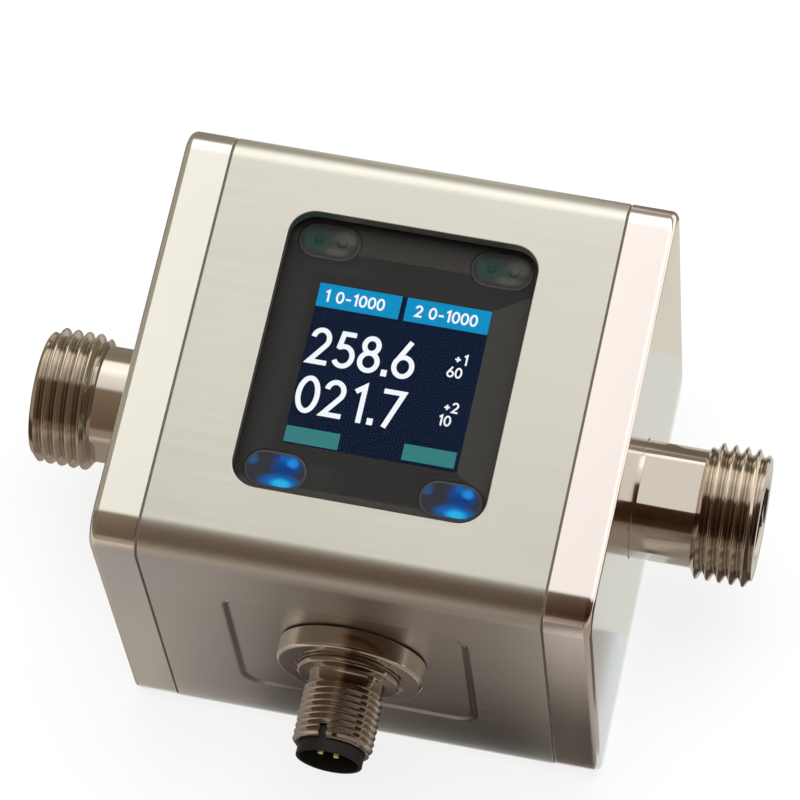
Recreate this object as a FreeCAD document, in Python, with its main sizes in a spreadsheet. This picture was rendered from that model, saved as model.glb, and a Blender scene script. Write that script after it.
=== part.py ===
import FreeCAD, Part
import math
import os

import Sketcher

# Compact electromagnetic flow meter: a square steel housing with two end caps, a male pipe fitting at
# each end, a display behind glass and a round plug.
# Millimetres. The flow runs along +X, the display faces +Z with its top toward +Y, and the plug points
# to -Y. The origin is on the flow axis, half-way along the housing.

SIZES = {
    # Housing
    "housing_length": 74.0,
    "housing_height": 68.0,
    "housing_depth": 68.0,
    "corner_radius": 5.0,
    "shell_wall": 2.0,
    "cap_depth": 7.0,
    "cap_wall": 2.0,
    "cap_edge": 1.2,
    "seam_gap": 0.3,
    "seam_recess": 0.15,
    "lip_depth": 3.0,
    "lip_wall": 1.6,
    "lip_clearance": 0.2,
    "hollow_radius": 1.5,
    # Hub of an end cap, which holds the neck of a fitting
    "hub_diameter": 26.0,
    "hub_length": 8.0,
    "hub_seat_depth": 2.5,
    "neck_clearance": 0.2,
    # Pipe fittings
    "thread_diameter": 20.955,
    "thread_length": 9.4,
    "thread_runout": 0.9,
    "thread_chamfer": 1.1,
    "neck_diameter": 18.0,
    "neck_length": 9.3,
    "neck_seal_thickness": 0.8,
    "flats_across": 16.0,
    "flats_setback": 0.4,
    "bore_chamfer": 0.5,
    "socket_depth": 8.0,
    "screw_clearance": 0.1,
    # Measuring tube and liner
    "bore_diameter": 12.0,
    "liner_wall": 1.5,
    "liner_seal_thickness": 1.5,
    "tube_wall": 1.5,
    "socket_wall": 4.0,
    "socket_length": 12.0,
    # Electrodes
    "electrode_diameter": 3.0,
    "electrode_clearance": 0.1,
    "electrode_collar": 5.0,
    "collar_height": 1.0,
    "electrode_seat": 7.0,
    "boss_diameter": 11.0,
    "boss_rise": 3.0,
    "insulator_flange": 10.0,
    "insulator_rim": 1.2,
    "electrode_nut_across": 5.5,
    "electrode_nut_height": 2.4,
    "electrode_tail": 1.5,
    # Temperature sensor
    "sensor_diameter": 4.0,
    "sensor_length": 8.0,
    "sensor_web": 1.2,
    "sensor_clearance": 0.1,
    # Field coils and yoke
    "pole_thickness": 2.5,
    "pole_length": 18.0,
    "pole_width": 11.0,
    "core_diameter": 8.0,
    "core_clearance": 0.1,
    "coil_diameter": 23.0,
    "bobbin_wall": 1.0,
    "bobbin_rim": 0.9,
    "bobbin_overhang": 0.6,
    "yoke_width": 22.0,
    "yoke_thickness": 2.0,
    "yoke_corner": 2.0,
    "yoke_clearance": 1.2,
    # Window and display
    "window_width": 37.5,
    "window_height": 44.4,
    "window_radius": 4.0,
    "window_rise": 0.4,
    "window_seal_thickness": 0.3,
    "window_seal_setback": 0.6,
    "glass_margin": 2.5,
    "glass_thickness": 2.0,
    "mask_thickness": 1.0,
    "view_width": 26.0,
    "view_height": 26.0,
    "panel_width": 29.0,
    "panel_height": 30.0,
    "panel_thickness": 2.2,
    "post_diameter": 4.0,
    "post_inset": 2.4,
    # Optical keys
    "key_length": 9.6,
    "key_width": 6.0,
    "key_spread": 26.0,
    "upper_key_rise": 19.6,
    "lower_key_drop": 17.4,
    "lens_clearance": 0.1,
    "detector_length": 3.2,
    "detector_width": 1.6,
    "detector_height": 1.2,
    # Boards
    "board_thickness": 1.6,
    "screw_diameter": 2.0,
    "screw_tip_gap": 0.3,
    "head_diameter": 3.6,
    "head_height": 1.3,
    "main_board_end_gap": 2.0,
    "main_board_edge_gap": 8.0,
    "main_hole_inset": 4.0,
    "standoff_height": 4.0,
    "standoff_diameter": 5.0,
    "header_length": 12.0,
    "header_width": 5.0,
    "header_height": 3.0,
    "header_inset": 8.0,
    "chip_side": 10.0,
    "chip_height": 1.6,
    "chip_rise": 8.0,
    # Ribbons and leads
    "ribbon_thickness": 0.3,
    "ribbon_width": 16.0,
    "ribbon_gap": 3.6,
    "socket_reach": 4.0,
    "socket_height": 1.0,
    "socket_inset": 1.0,
    "plug_board_diameter": 11.0,
    "plug_board_thickness": 1.0,
    "plug_ribbon_width": 8.0,
    "plug_ribbon_gap": 0.35,
    "lead_diameter": 1.2,
    "lead_bend": 2.0,
    "lead_clearance": 1.5,
    # Plug
    "plug_side": 0.5,
    "plug_rise": 4.0,
    "pocket_width": 37.0,
    "pocket_height": 37.0,
    "pocket_depth": 0.4,
    "pocket_slope": 1.0,
    "pocket_radius": 4.0,
    "pocket_rise": 1.0,
    "flange_diameter": 22.2,
    "flange_thickness": 3.2,
    "flange_edge": 0.4,
    "flange_seat_diameter": 17.0,
    "flange_seat_depth": 0.5,
    "plug_seal_thickness": 0.25,
    "plug_seal_diameter": 20.4,
    "stem_diameter": 13.0,
    "stem_clearance": 0.2,
    "stem_tail": 1.0,
    "plug_nut_across": 17.0,
    "plug_nut_height": 3.0,
    "collar_diameter": 15.4,
    "collar_rise": 1.0,
    "shank_diameter": 11.2,
    "shank_length": 2.0,
    "plug_thread_diameter": 12.0,
    "plug_thread_length": 9.0,
    "plug_thread_chamfer": 0.5,
    "notch_width": 1.2,
    "notch_depth": 2.0,
    "insert_diameter": 10.0,
    "insert_clearance": 0.1,
    "insert_rise": 1.9,
    "insert_wall": 0.5,
    "insert_cup_depth": 8.0,
    "rib_height": 0.7,
    "rib_setback": 1.0,
    "pin_diameter": 0.8,
    "pin_circle": 5.5,
    "pin_clearance": 0.05,
    "pin_setback": 1.7,
    "pin_tail": 3.0,
}
INLET, OUTLET = -1, 1
LOWER, UPPER = -1, 1
CLOSE_ENOUGH = 1e-6
# Contacts on the plug's pin circle, round the one in the middle
PINS_ROUND = 7
# Degrees from the display's side at which the plug's key comes to rest, toward the inlet
KEY_TURN = 11


class Size:
    """A length in millimetres with the expression that works it out from the sheet's cells."""

    def __init__(self, value, text):
        self.value = value
        self.text = text

    def __add__(self, other):
        return Size(self.value + number(other), f"({self.text} + {words(other)})")

    def __sub__(self, other):
        return Size(self.value - number(other), f"({self.text} - {words(other)})")

    def __rsub__(self, other):
        return -self + other

    def __mul__(self, other):
        return Size(self.value * number(other), f"({self.text} * {words(other)})")

    def __truediv__(self, other):
        return Size(self.value / number(other), f"({self.text} / {words(other)})")

    def __neg__(self):
        return Size(-self.value, f"(-1 * {self.text})")

    def side_of(self, other):
        """The third side of a right triangle with this as its long side and other as a short one."""
        return Size(math.sqrt(self.value ** 2 - other.value ** 2), f"sqrt({self.text}^2 - {other.text}^2)")


def number(value):
    return value.value if isinstance(value, Size) else value


def words(value):
    return value.text if isinstance(value, Size) else repr(value)


class Sizes:
    """The driving dimensions, each one a cell of the sheet."""

    def __init__(self, sheet, values):
        for row, (name, value) in enumerate(values.items(), start=1):
            sheet.set(f"A{row}", name)
            sheet.set(f"B{row}", str(value))
            sheet.setAlias(f"B{row}", name)
        sheet.recompute()
        for name in values:
            setattr(self, name, Size(float(sheet.get(name)), f"{sheet.Name}.{name}"))


doc = FreeCAD.newDocument("flow_meter")
s = Sizes(doc.addObject("Spreadsheet::Sheet", "Dimensions"), SIZES)
nodes = []


# Sketches and features

def new_body(label):
    body = doc.addObject("PartDesign::Body", label)
    body.AllowCompound = True
    nodes.append(body)
    return body


def sketch_on(body, role, offset=None):
    """An empty sketch on one of the body's own planes, moved along the plane's normal by offset."""
    plane = next(f for f in body.Origin.OriginFeatures if f.Role == role)
    sketch = body.newObject("Sketcher::SketchObject", "Outline")
    sketch.AttachmentSupport = (plane, [""])
    sketch.MapMode = "FlatFace"
    if offset is not None:
        sketch.setExpression("AttachmentOffset.Base.z", offset.text)
    return sketch


def point(x, y):
    return FreeCAD.Vector(number(x), number(y), 0)


def fix(sketch, kind, geometry, end, value):
    """Hold one coordinate of a point at value, measured from the sketch's origin."""
    if not isinstance(value, Size):
        axis = -2 if kind == "DistanceX" else -1
        sketch.addConstraint(Sketcher.Constraint("PointOnObject", geometry, end, axis))
        return
    if value.value < 0:
        value = -value
        rule = Sketcher.Constraint(kind, geometry, end, -1, 1, value.value)
    else:
        rule = Sketcher.Constraint(kind, -1, 1, geometry, end, value.value)
    sketch.setExpression(f"Constraints[{sketch.addConstraint(rule)}]", value.text)


def fix_point(sketch, geometry, end, x, y):
    fix(sketch, "DistanceX", geometry, end, x)
    fix(sketch, "DistanceY", geometry, end, y)


def size_rule(sketch, kind, geometry, value):
    rule = Sketcher.Constraint(kind, geometry, value.value)
    sketch.setExpression(f"Constraints[{sketch.addConstraint(rule)}]", value.text)


def polygon(sketch, corners):
    """A closed outline through the corners, in order."""
    first = sketch.GeometryCount
    count = len(corners)
    for index, corner in enumerate(corners):
        following = corners[(index + 1) % count]
        sketch.addGeometry(Part.LineSegment(point(*corner), point(*following)), False)
    for index in range(count):
        following = first + (index + 1) % count
        sketch.addConstraint(Sketcher.Constraint("Coincident", first + index, 2, following, 1))
    for index, corner in enumerate(corners):
        fix_point(sketch, first + index, 1, *corner)


def rectangle(sketch, width, height, x=0, y=0):
    left, right = width / -2 + x, width / 2 + x
    low, high = height / -2 + y, height / 2 + y
    polygon(sketch, [(left, low), (right, low), (right, high), (left, high)])


def hexagon(sketch, across):
    corner = across / math.sqrt(3)
    half, flat = corner / 2, across / 2
    polygon(sketch, [(corner, 0), (half, flat), (-half, flat), (-corner, 0), (-half, -flat), (half, -flat)])


def circle(sketch, diameter, x=0, y=0):
    index = sketch.addGeometry(Part.Circle(point(x, y), FreeCAD.Vector(0, 0, 1), diameter.value / 2), False)
    fix_point(sketch, index, 3, x, y)
    size_rule(sketch, "Diameter", index, diameter)


def arc(sketch, centre, radius, start, end):
    """An arc between two angles in quarter turns, anticlockwise."""
    ring = Part.Circle(point(*centre), FreeCAD.Vector(0, 0, 1), radius.value)
    quarter = math.pi / 2
    return sketch.addGeometry(Part.ArcOfCircle(ring, start * quarter, end * quarter), False)


def join_tangent(sketch, chain):
    for index, geometry in enumerate(chain):
        following = chain[(index + 1) % len(chain)]
        sketch.addConstraint(Sketcher.Constraint("Tangent", geometry, 2, following, 1))


def rounded_rectangle(sketch, width, height, radius, x=0, y=0):
    left, right = width / -2 + x, width / 2 + x
    low, high = height / -2 + y, height / 2 + y
    x_in, x_out = left + radius, right - radius
    y_in, y_out = low + radius, high - radius
    runs = [((x_in, low), (x_out, low)), ((right, y_in), (right, y_out)),
            ((x_out, high), (x_in, high)), ((left, y_out), (left, y_in))]
    centres = [(x_out, y_in), (x_out, y_out), (x_in, y_out), (x_in, y_in)]
    chain = []
    for turn, (run, centre) in enumerate(zip(runs, centres)):
        chain.append(sketch.addGeometry(Part.LineSegment(point(*run[0]), point(*run[1])), False))
        chain.append(arc(sketch, centre, radius, turn - 1, turn))
    join_tangent(sketch, chain)
    bottom, corner, side_right, _, top, _, side_left, _ = chain
    for line in (bottom, top):
        sketch.addConstraint(Sketcher.Constraint("Horizontal", line))
    for line in (side_left, side_right):
        sketch.addConstraint(Sketcher.Constraint("Vertical", line))
    for other in chain[3::2]:
        sketch.addConstraint(Sketcher.Constraint("Equal", corner, other))
    size_rule(sketch, "Radius", corner, radius)
    fix(sketch, "DistanceY", bottom, 1, low)
    fix(sketch, "DistanceX", side_right, 1, right)
    fix(sketch, "DistanceY", top, 1, high)
    fix(sketch, "DistanceX", side_left, 1, left)


def oval(sketch, length, width, x=0, y=0):
    """A long hole with round ends, along the sketch's first axis."""
    radius = width / 2
    reach = length / 2 - radius
    left, right = -reach + x, reach + x
    low, high = -radius + y, radius + y
    bottom = sketch.addGeometry(Part.LineSegment(point(left, low), point(right, low)), False)
    right_end = arc(sketch, (right, y), radius, -1, 1)
    top = sketch.addGeometry(Part.LineSegment(point(right, high), point(left, high)), False)
    left_end = arc(sketch, (left, y), radius, 1, 3)
    join_tangent(sketch, [bottom, right_end, top, left_end])
    sketch.addConstraint(Sketcher.Constraint("Horizontal", bottom))
    sketch.addConstraint(Sketcher.Constraint("Horizontal", top))
    size_rule(sketch, "Radius", right_end, radius)
    fix_point(sketch, right_end, 3, right, y)
    fix(sketch, "DistanceX", left_end, 3, left)


def pad(body, sketch, length, reverse=False, both_ways=False):
    feature = body.newObject("PartDesign::Pad", "Pad")
    feature.Profile = sketch
    feature.Reversed = reverse
    if both_ways:
        feature.SideType = "Symmetric"
    feature.setExpression("Length", length.text)
    return feature


def pocket(body, sketch, length=None, reverse=False):
    """A cut along the sketch's normal, or through everything both ways where no length is given."""
    doc.recompute()
    before = body.Shape.Volume
    feature = body.newObject("PartDesign::Pocket", "Pocket")
    feature.Profile = sketch
    feature.Reversed = reverse
    if length is None:
        feature.SideType = "Symmetric"
        feature.Type = "ThroughAll"
    else:
        feature.setExpression("Length", length.text)
    doc.recompute()
    if not body.Shape.Volume < before - CLOSE_ENOUGH:
        raise ValueError(f"{body.Label}: a pocket cuts nothing")
    return feature


def revolve(body, corners):
    """Turn a closed outline of (along, radius) corners round the body's own X axis."""
    sketch = sketch_on(body, "XY_Plane")
    polygon(sketch, corners)
    feature = body.newObject("PartDesign::Revolution", "Revolution")
    feature.Profile = sketch
    feature.ReferenceAxis = (sketch, ["H_Axis"])
    feature.Angle = 360
    return feature


def place(piece, x=0, y=0, z=0, turn=None):
    """Seat a piece: where its own origin goes, and how it is turned."""
    if turn is not None:
        piece.Placement = FreeCAD.Placement(FreeCAD.Vector(), turn)
    for axis, value in zip("xyz", (x, y, z)):
        if isinstance(value, Size):
            piece.setExpression(f"Placement.Base.{axis}", value.text)
    return piece


def turned(axis, degrees):
    return FreeCAD.Rotation(FreeCAD.Vector(*axis), degrees)


def toward_side(side):
    """The turn that points a piece's own X axis along X, to the given side."""
    return turned((0, 0, 1), 0 if side == OUTLET else 180)


def toward_height(side):
    """The turn that points a piece's own X axis along Y, to the given side."""
    return turned((0, 0, 1), 90 * side)


def toward_depth(side):
    """The turn that points a piece's own X axis along Z, to the given side."""
    return turned((0, 1, 0), -90 * side)


def block(label, length, width, height, x, y, z):
    """A plain block, centred on x and y and standing on z."""
    piece = doc.addObject("Part::Box", label)
    for name, value in (("Length", length), ("Width", width), ("Height", height)):
        piece.setExpression(name, value.text)
    nodes.append(piece)
    return place(piece, length / -2 + x, width / -2 + y, z)


def ring(label, outer, inner, thickness):
    """A flat ring round its own X axis."""
    body = new_body(label)
    outline = sketch_on(body, "YZ_Plane")
    circle(outline, outer)
    circle(outline, inner)
    pad(body, outline, thickness)
    return body


# Levels and radii that several pieces share

inner_height = s.housing_height - s.shell_wall * 2
inner_depth = s.housing_depth - s.shell_wall * 2
inner_radius = s.corner_radius - s.shell_wall
seam_plane = s.housing_length / 2 - s.cap_depth
shell_length = (seam_plane - s.seam_gap) * 2

tube_bore = s.bore_diameter + s.liner_wall * 2
tube_radius = tube_bore / 2 + s.tube_wall
tube_half = s.housing_length / 2 - s.hub_length
socket_radius = tube_bore / 2 + s.socket_wall
socket_step = tube_half - s.socket_length
spigot_diameter = tube_bore - s.screw_clearance * 2
liner_half = tube_half - s.socket_depth - s.liner_seal_thickness
boss_top = tube_radius + s.boss_rise
insulator_top = boss_top + s.insulator_rim
sensor_depth = tube_bore / 2 + s.sensor_web + s.sensor_length

glass_top = s.housing_depth / 2 - s.shell_wall - s.window_seal_thickness
mask_top = glass_top - s.glass_thickness
panel_top = mask_top - s.mask_thickness
board_top = panel_top - s.panel_thickness
board_bottom = board_top - s.board_thickness
glass_width = s.window_width + s.glass_margin * 2
glass_height = s.window_height + s.glass_margin * 2
glass_radius = s.window_radius + s.glass_margin


def four_corners(half_width, half_height):
    """The four points at plus and minus the two half sizes."""
    return [(half_width * column, half_height * row) for row in (1, -1) for column in (-1, 1)]


display_posts = four_corners(glass_width / 2 - s.post_inset, glass_height / 2 - s.post_inset)
main_board_half_length = seam_plane - s.lip_depth - s.main_board_end_gap
main_board_half_height = inner_height / 2 - s.main_board_edge_gap
main_holes = four_corners(
    main_board_half_length - s.main_hole_inset,
    main_board_half_height - s.main_hole_inset,
)
header_drop = main_board_half_height - s.header_inset
key_column = s.key_spread / 2
keys = {
    "upper_left": (-key_column, s.upper_key_rise),
    "upper_right": (key_column, s.upper_key_rise),
    "lower_left": (-key_column, -s.lower_key_drop),
    "lower_right": (key_column, -s.lower_key_drop),
}

main_board_bottom = -inner_depth / 2 + s.standoff_height
main_board_top = main_board_bottom + s.board_thickness

yoke_half_depth = board_bottom - s.head_height - s.yoke_clearance
plug_inside = s.plug_nut_height + s.stem_tail
yoke_half_height = inner_height / 2 - plug_inside - s.pin_tail - s.yoke_clearance
pole_top = tube_radius + s.pole_thickness
lead_column = (s.yoke_width / 2 + socket_step) / 2
bobbin_height = yoke_half_depth - s.yoke_thickness - pole_top
bobbin_bore = s.core_diameter + s.core_clearance * 2
winding_bore = bobbin_bore + s.bobbin_wall * 2

plug_floor = s.housing_height / 2 - s.pocket_depth
wall_under_plug = s.shell_wall - s.pocket_depth
stem_start = -(wall_under_plug + plug_inside)
flange_face = s.plug_seal_thickness + s.flange_thickness
collar_start = flange_face - s.flange_seat_depth
collar_end = flange_face + s.collar_rise
thread_start = collar_end + s.shank_length
thread_end = thread_start + s.plug_thread_length
insert_end = thread_end + s.insert_rise
cup_floor = insert_end - s.insert_cup_depth
stem_hole = s.stem_diameter + s.stem_clearance * 2
plug_board_face = inner_height / 2 - plug_inside - s.pin_tail / 2


# Housing

def centre_shell():
    body = new_body("centre_shell")
    section = sketch_on(body, "YZ_Plane")
    rounded_rectangle(section, s.housing_height, s.housing_depth, s.corner_radius)
    rounded_rectangle(section, inner_height, inner_depth, inner_radius)
    pad(body, section, shell_length, both_ways=True)
    window = sketch_on(body, "XY_Plane", s.housing_depth / 2)
    rounded_rectangle(window, s.window_width, s.window_height, s.window_radius, y=s.window_rise)
    pocket(body, window, s.shell_wall * 2)
    plug_pocket = sketch_on(body, "XZ_Plane", s.housing_height / 2)
    rounded_rectangle(plug_pocket, s.pocket_width, s.pocket_height, s.pocket_radius, y=s.pocket_rise)
    recess = pocket(body, plug_pocket, s.pocket_depth)
    recess.setExpression("TaperAngle", f"-atan({s.pocket_slope.text} / {s.pocket_depth.text})")
    plug_hole = sketch_on(body, "XZ_Plane", s.housing_height / 2)
    circle(plug_hole, stem_hole, s.plug_side, s.plug_rise)
    pocket(body, plug_hole, s.shell_wall * 2)


def round_outer_edges(body, plane, radius):
    """Round every edge of the body that lies in the plane x = plane."""
    doc.recompute()
    names = []
    for index, edge in enumerate(body.Shape.Edges, start=1):
        if all(abs(vertex.X - plane.value) < CLOSE_ENOUGH for vertex in edge.Vertexes):
            names.append(f"Edge{index}")
    feature = body.newObject("PartDesign::Fillet", "Fillet")
    feature.Base = (body.Group[-2], names)
    feature.setExpression("Radius", radius.text)


def end_cap(label, side):
    """A cap with a lip that enters the shell and a hub that carries the neck of a fitting."""
    body = new_body(label)
    lip_height = inner_height - s.lip_clearance * 2
    lip_width = inner_depth - s.lip_clearance * 2
    outline = sketch_on(body, "YZ_Plane")
    rounded_rectangle(outline, s.housing_height, s.housing_depth, s.corner_radius)
    pad(body, outline, s.cap_depth)
    round_outer_edges(body, s.cap_depth, s.cap_edge)
    lip = sketch_on(body, "YZ_Plane")
    rounded_rectangle(lip, lip_height, lip_width, inner_radius - s.lip_clearance)
    pad(body, lip, s.lip_depth, reverse=True)
    hollow = sketch_on(body, "YZ_Plane", -s.lip_depth)
    rounded_rectangle(hollow, lip_height - s.lip_wall * 2, lip_width - s.lip_wall * 2, s.hollow_radius)
    pocket(body, hollow, s.lip_depth + s.cap_depth - s.cap_wall, reverse=True)
    hub = sketch_on(body, "YZ_Plane", s.cap_depth - s.cap_wall)
    circle(hub, s.hub_diameter)
    pad(body, hub, s.hub_length - s.cap_wall, reverse=True)
    seat = sketch_on(body, "YZ_Plane", s.cap_depth)
    circle(seat, s.neck_diameter + s.neck_clearance * 2)
    pocket(body, seat, s.hub_seat_depth)
    hole = sketch_on(body, "YZ_Plane", s.cap_depth)
    circle(hole, spigot_diameter + s.neck_clearance * 2)
    pocket(body, hole)
    place(body, seam_plane * side, turn=toward_side(side))


def seam_gasket(label, side):
    body = new_body(label)
    outline = sketch_on(body, "YZ_Plane")
    height = s.housing_height - s.seam_recess * 2
    depth = s.housing_depth - s.seam_recess * 2
    rounded_rectangle(outline, height, depth, s.corner_radius - s.seam_recess)
    rounded_rectangle(outline, inner_height, inner_depth, inner_radius)
    pad(body, outline, s.seam_gap)
    place(body, (seam_plane - s.seam_gap) * side, turn=toward_side(side))


# Flow line

def pipe_fitting(label, side):
    """A threaded end, a neck with two wrench flats, and a spigot that screws into the measuring tube.

    Screwed home, the outlet's flats face the display and the back, and the inlet's are a quarter turn on.
    """
    body = new_body(label)
    bore = s.bore_diameter / 2
    spigot = spigot_diameter / 2
    neck = s.neck_diameter / 2
    thread = s.thread_diameter / 2
    cap_face = s.socket_depth + s.hub_length
    shoulder = cap_face - s.hub_seat_depth + s.neck_seal_thickness
    neck_end = cap_face + s.neck_length
    end = neck_end + s.thread_length
    revolve(body, [
        (0, bore), (0, spigot), (shoulder, spigot), (shoulder, neck), (neck_end, neck),
        (neck_end + s.thread_runout, thread), (end - s.thread_chamfer, thread),
        (end, thread - s.thread_chamfer), (end, bore + s.bore_chamfer), (end - s.bore_chamfer, bore),
    ])
    flats = sketch_on(body, "YZ_Plane", cap_face + s.flats_setback)
    flat = s.flats_across / 2
    for face in (1, -1):
        inner, outer = flat * face, thread * face
        corners = [(-thread, inner), (thread, inner), (thread, outer), (-thread, outer)]
        if side == INLET:
            corners = [(depth, height) for height, depth in corners]
        polygon(flats, corners)
    pocket(body, flats, s.neck_length - s.flats_setback, reverse=True)
    place(body, (tube_half - s.socket_depth) * side, turn=toward_side(side))


def neck_seal(label, side):
    seal = ring(label, s.neck_diameter, spigot_diameter + s.neck_clearance * 2, s.neck_seal_thickness)
    place(seal, (s.housing_length / 2 - s.hub_seat_depth) * side, turn=toward_side(side))


def measuring_tube():
    body = new_body("measuring_tube")
    revolve(body, [
        (-tube_half, 0), (-tube_half, socket_radius),
        (-socket_step, socket_radius), (-socket_step, tube_radius),
        (socket_step, tube_radius), (socket_step, socket_radius),
        (tube_half, socket_radius), (tube_half, 0),
    ])
    bosses = sketch_on(body, "XZ_Plane")
    circle(bosses, s.boss_diameter)
    pad(body, bosses, boss_top * 2, both_ways=True)
    bore = sketch_on(body, "YZ_Plane")
    circle(bore, tube_bore)
    pocket(body, bore)
    seats = sketch_on(body, "XZ_Plane")
    circle(seats, s.electrode_seat)
    pocket(body, seats)
    sensor_hole = sketch_on(body, "XY_Plane", -socket_radius)
    circle(sensor_hole, s.sensor_diameter + s.sensor_clearance * 2, x=sensor_place())
    pocket(body, sensor_hole, s.socket_wall - s.sensor_web, reverse=True)


def sensor_place():
    """Where along the tube the temperature sensor sits: the middle of the outlet socket."""
    return tube_half - s.socket_length / 2


def liner():
    body = new_body("liner")
    section = sketch_on(body, "YZ_Plane")
    circle(section, tube_bore)
    circle(section, s.bore_diameter)
    pad(body, section, liner_half * 2, both_ways=True)
    holes = sketch_on(body, "XZ_Plane")
    circle(holes, s.electrode_diameter + s.electrode_clearance * 2)
    pocket(body, holes)


def liner_seal(label, side):
    seal = ring(label, tube_bore, s.bore_diameter, s.liner_seal_thickness)
    place(seal, liner_half * side, turn=toward_side(side))


def temperature_sensor():
    piece = doc.addObject("Part::Cylinder", "temperature_sensor")
    piece.setExpression("Radius", (s.sensor_diameter / 2).text)
    piece.setExpression("Height", s.sensor_length.text)
    nodes.append(piece)
    place(piece, sensor_place(), z=-sensor_depth)


# Electrodes, across the tube

def electrode(label, side):
    body = new_body(label)
    tip = s.bore_diameter / 2
    collar_start = tube_bore / 2
    collar_end = collar_start + s.collar_height
    end = insulator_top + s.electrode_nut_height + s.electrode_tail
    pin = s.electrode_diameter / 2
    collar = s.electrode_collar / 2
    revolve(body, [
        (tip, 0), (tip, pin), (collar_start, pin), (collar_start, collar),
        (collar_end, collar), (collar_end, pin), (end, pin), (end, 0),
    ])
    place(body, turn=toward_height(side))


def electrode_insulator(label, side):
    body = new_body(label)
    start = tube_bore / 2 + s.collar_height
    bore = s.electrode_diameter / 2 + s.electrode_clearance
    sleeve = s.electrode_seat / 2 - s.electrode_clearance
    flange = s.insulator_flange / 2
    revolve(body, [
        (start, bore), (start, sleeve), (boss_top, sleeve), (boss_top, flange),
        (insulator_top, flange), (insulator_top, bore),
    ])
    place(body, turn=toward_height(side))


def electrode_nut(label, side):
    body = new_body(label)
    outline = sketch_on(body, "YZ_Plane")
    hexagon(outline, s.electrode_nut_across)
    circle(outline, s.electrode_diameter)
    pad(body, outline, s.electrode_nut_height)
    place(body, y=insulator_top * side, turn=toward_height(side))


# Field coils, above and below the tube

def pole_shoe(label, side):
    """A saddle on the tube with a round core that reaches the yoke."""
    body = new_body(label)
    saddle = sketch_on(body, "XZ_Plane")
    half = s.pole_width / 2
    angle = math.acos(half.value / tube_radius.value) / (math.pi / 2)
    curve = arc(saddle, (0, 0), tube_radius, angle, 2 - angle)
    rise = tube_radius.side_of(half)
    left = saddle.addGeometry(Part.LineSegment(point(-half, rise), point(-half, pole_top)), False)
    top = saddle.addGeometry(Part.LineSegment(point(-half, pole_top), point(half, pole_top)), False)
    right = saddle.addGeometry(Part.LineSegment(point(half, pole_top), point(half, rise)), False)
    chain = [curve, left, top, right]
    for index, geometry in enumerate(chain):
        following = chain[(index + 1) % len(chain)]
        saddle.addConstraint(Sketcher.Constraint("Coincident", geometry, 2, following, 1))
    saddle.addConstraint(Sketcher.Constraint("Coincident", curve, 3, -1, 1))
    size_rule(saddle, "Radius", curve, tube_radius)
    saddle.addConstraint(Sketcher.Constraint("Vertical", left))
    saddle.addConstraint(Sketcher.Constraint("Vertical", right))
    fix_point(saddle, top, 1, -half, pole_top)
    fix_point(saddle, top, 2, half, pole_top)
    pad(body, saddle, s.pole_length, both_ways=True)
    core = sketch_on(body, "XY_Plane", pole_top)
    circle(core, s.core_diameter)
    pad(body, core, bobbin_height)
    quarter_turn = turned((0, 0, 1), 90)
    place(body, turn=quarter_turn if side == UPPER else turned((1, 0, 0), 180).multiply(quarter_turn))


def coil_bobbin(label, side):
    body = new_body(label)
    bore = bobbin_bore / 2
    hub = winding_bore / 2
    rim = s.coil_diameter / 2 + s.bobbin_overhang
    far_rim = bobbin_height - s.bobbin_rim
    revolve(body, [
        (0, bore), (0, rim), (s.bobbin_rim, rim), (s.bobbin_rim, hub),
        (far_rim, hub), (far_rim, rim), (bobbin_height, rim), (bobbin_height, bore),
    ])
    place(body, z=pole_top * side, turn=toward_depth(side))


def coil_winding(label, side):
    winding = ring(label, s.coil_diameter, winding_bore, bobbin_height - s.bobbin_rim * 2)
    place(winding, z=(pole_top + s.bobbin_rim) * side, turn=toward_depth(side))


def magnet_yoke():
    body = new_body("magnet_yoke")
    section = sketch_on(body, "YZ_Plane")
    height, depth = yoke_half_height * 2, yoke_half_depth * 2
    rounded_rectangle(section, height, depth, s.yoke_corner + s.yoke_thickness)
    rounded_rectangle(section, height - s.yoke_thickness * 2, depth - s.yoke_thickness * 2, s.yoke_corner)
    pad(body, section, s.yoke_width, both_ways=True)


# Window and display, each piece standing on its own level

def window_seal():
    body = new_body("window_seal")
    outline = sketch_on(body, "XY_Plane")
    rounded_rectangle(outline, glass_width, glass_height, glass_radius)
    setback = s.window_seal_setback
    opening_width = s.window_width + setback * 2
    opening_height = s.window_height + setback * 2
    rounded_rectangle(outline, opening_width, opening_height, s.window_radius + setback)
    pad(body, outline, s.window_seal_thickness)
    place(body, y=s.window_rise, z=glass_top)


def window_glass():
    body = new_body("window_glass")
    outline = sketch_on(body, "XY_Plane")
    rounded_rectangle(outline, glass_width, glass_height, glass_radius)
    pad(body, outline, s.glass_thickness)
    place(body, y=s.window_rise, z=mask_top)


def display_frame():
    """The dark mask behind the glass, with four posts that carry the display board."""
    body = new_body("display_frame")
    mask = sketch_on(body, "XY_Plane")
    rounded_rectangle(mask, glass_width, glass_height, glass_radius)
    rectangle(mask, s.view_width, s.view_height)
    for spot in keys.values():
        oval(mask, s.key_length, s.key_width, *spot)
    pad(body, mask, s.mask_thickness)
    posts = sketch_on(body, "XY_Plane")
    for spot in display_posts:
        circle(posts, s.post_diameter, *spot)
    pad(body, posts, s.panel_thickness, reverse=True)
    holes = sketch_on(body, "XY_Plane", -s.panel_thickness)
    for spot in display_posts:
        circle(holes, s.screw_diameter, *spot)
    pocket(body, holes, s.panel_thickness, reverse=True)
    place(body, y=s.window_rise, z=panel_top)


def key_lens(label, spot):
    body = new_body(label)
    outline = sketch_on(body, "XY_Plane")
    oval(outline, s.key_length - s.lens_clearance * 2, s.key_width - s.lens_clearance * 2, *spot)
    pad(body, outline, s.mask_thickness)
    place(body, y=s.window_rise, z=panel_top)


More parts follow.
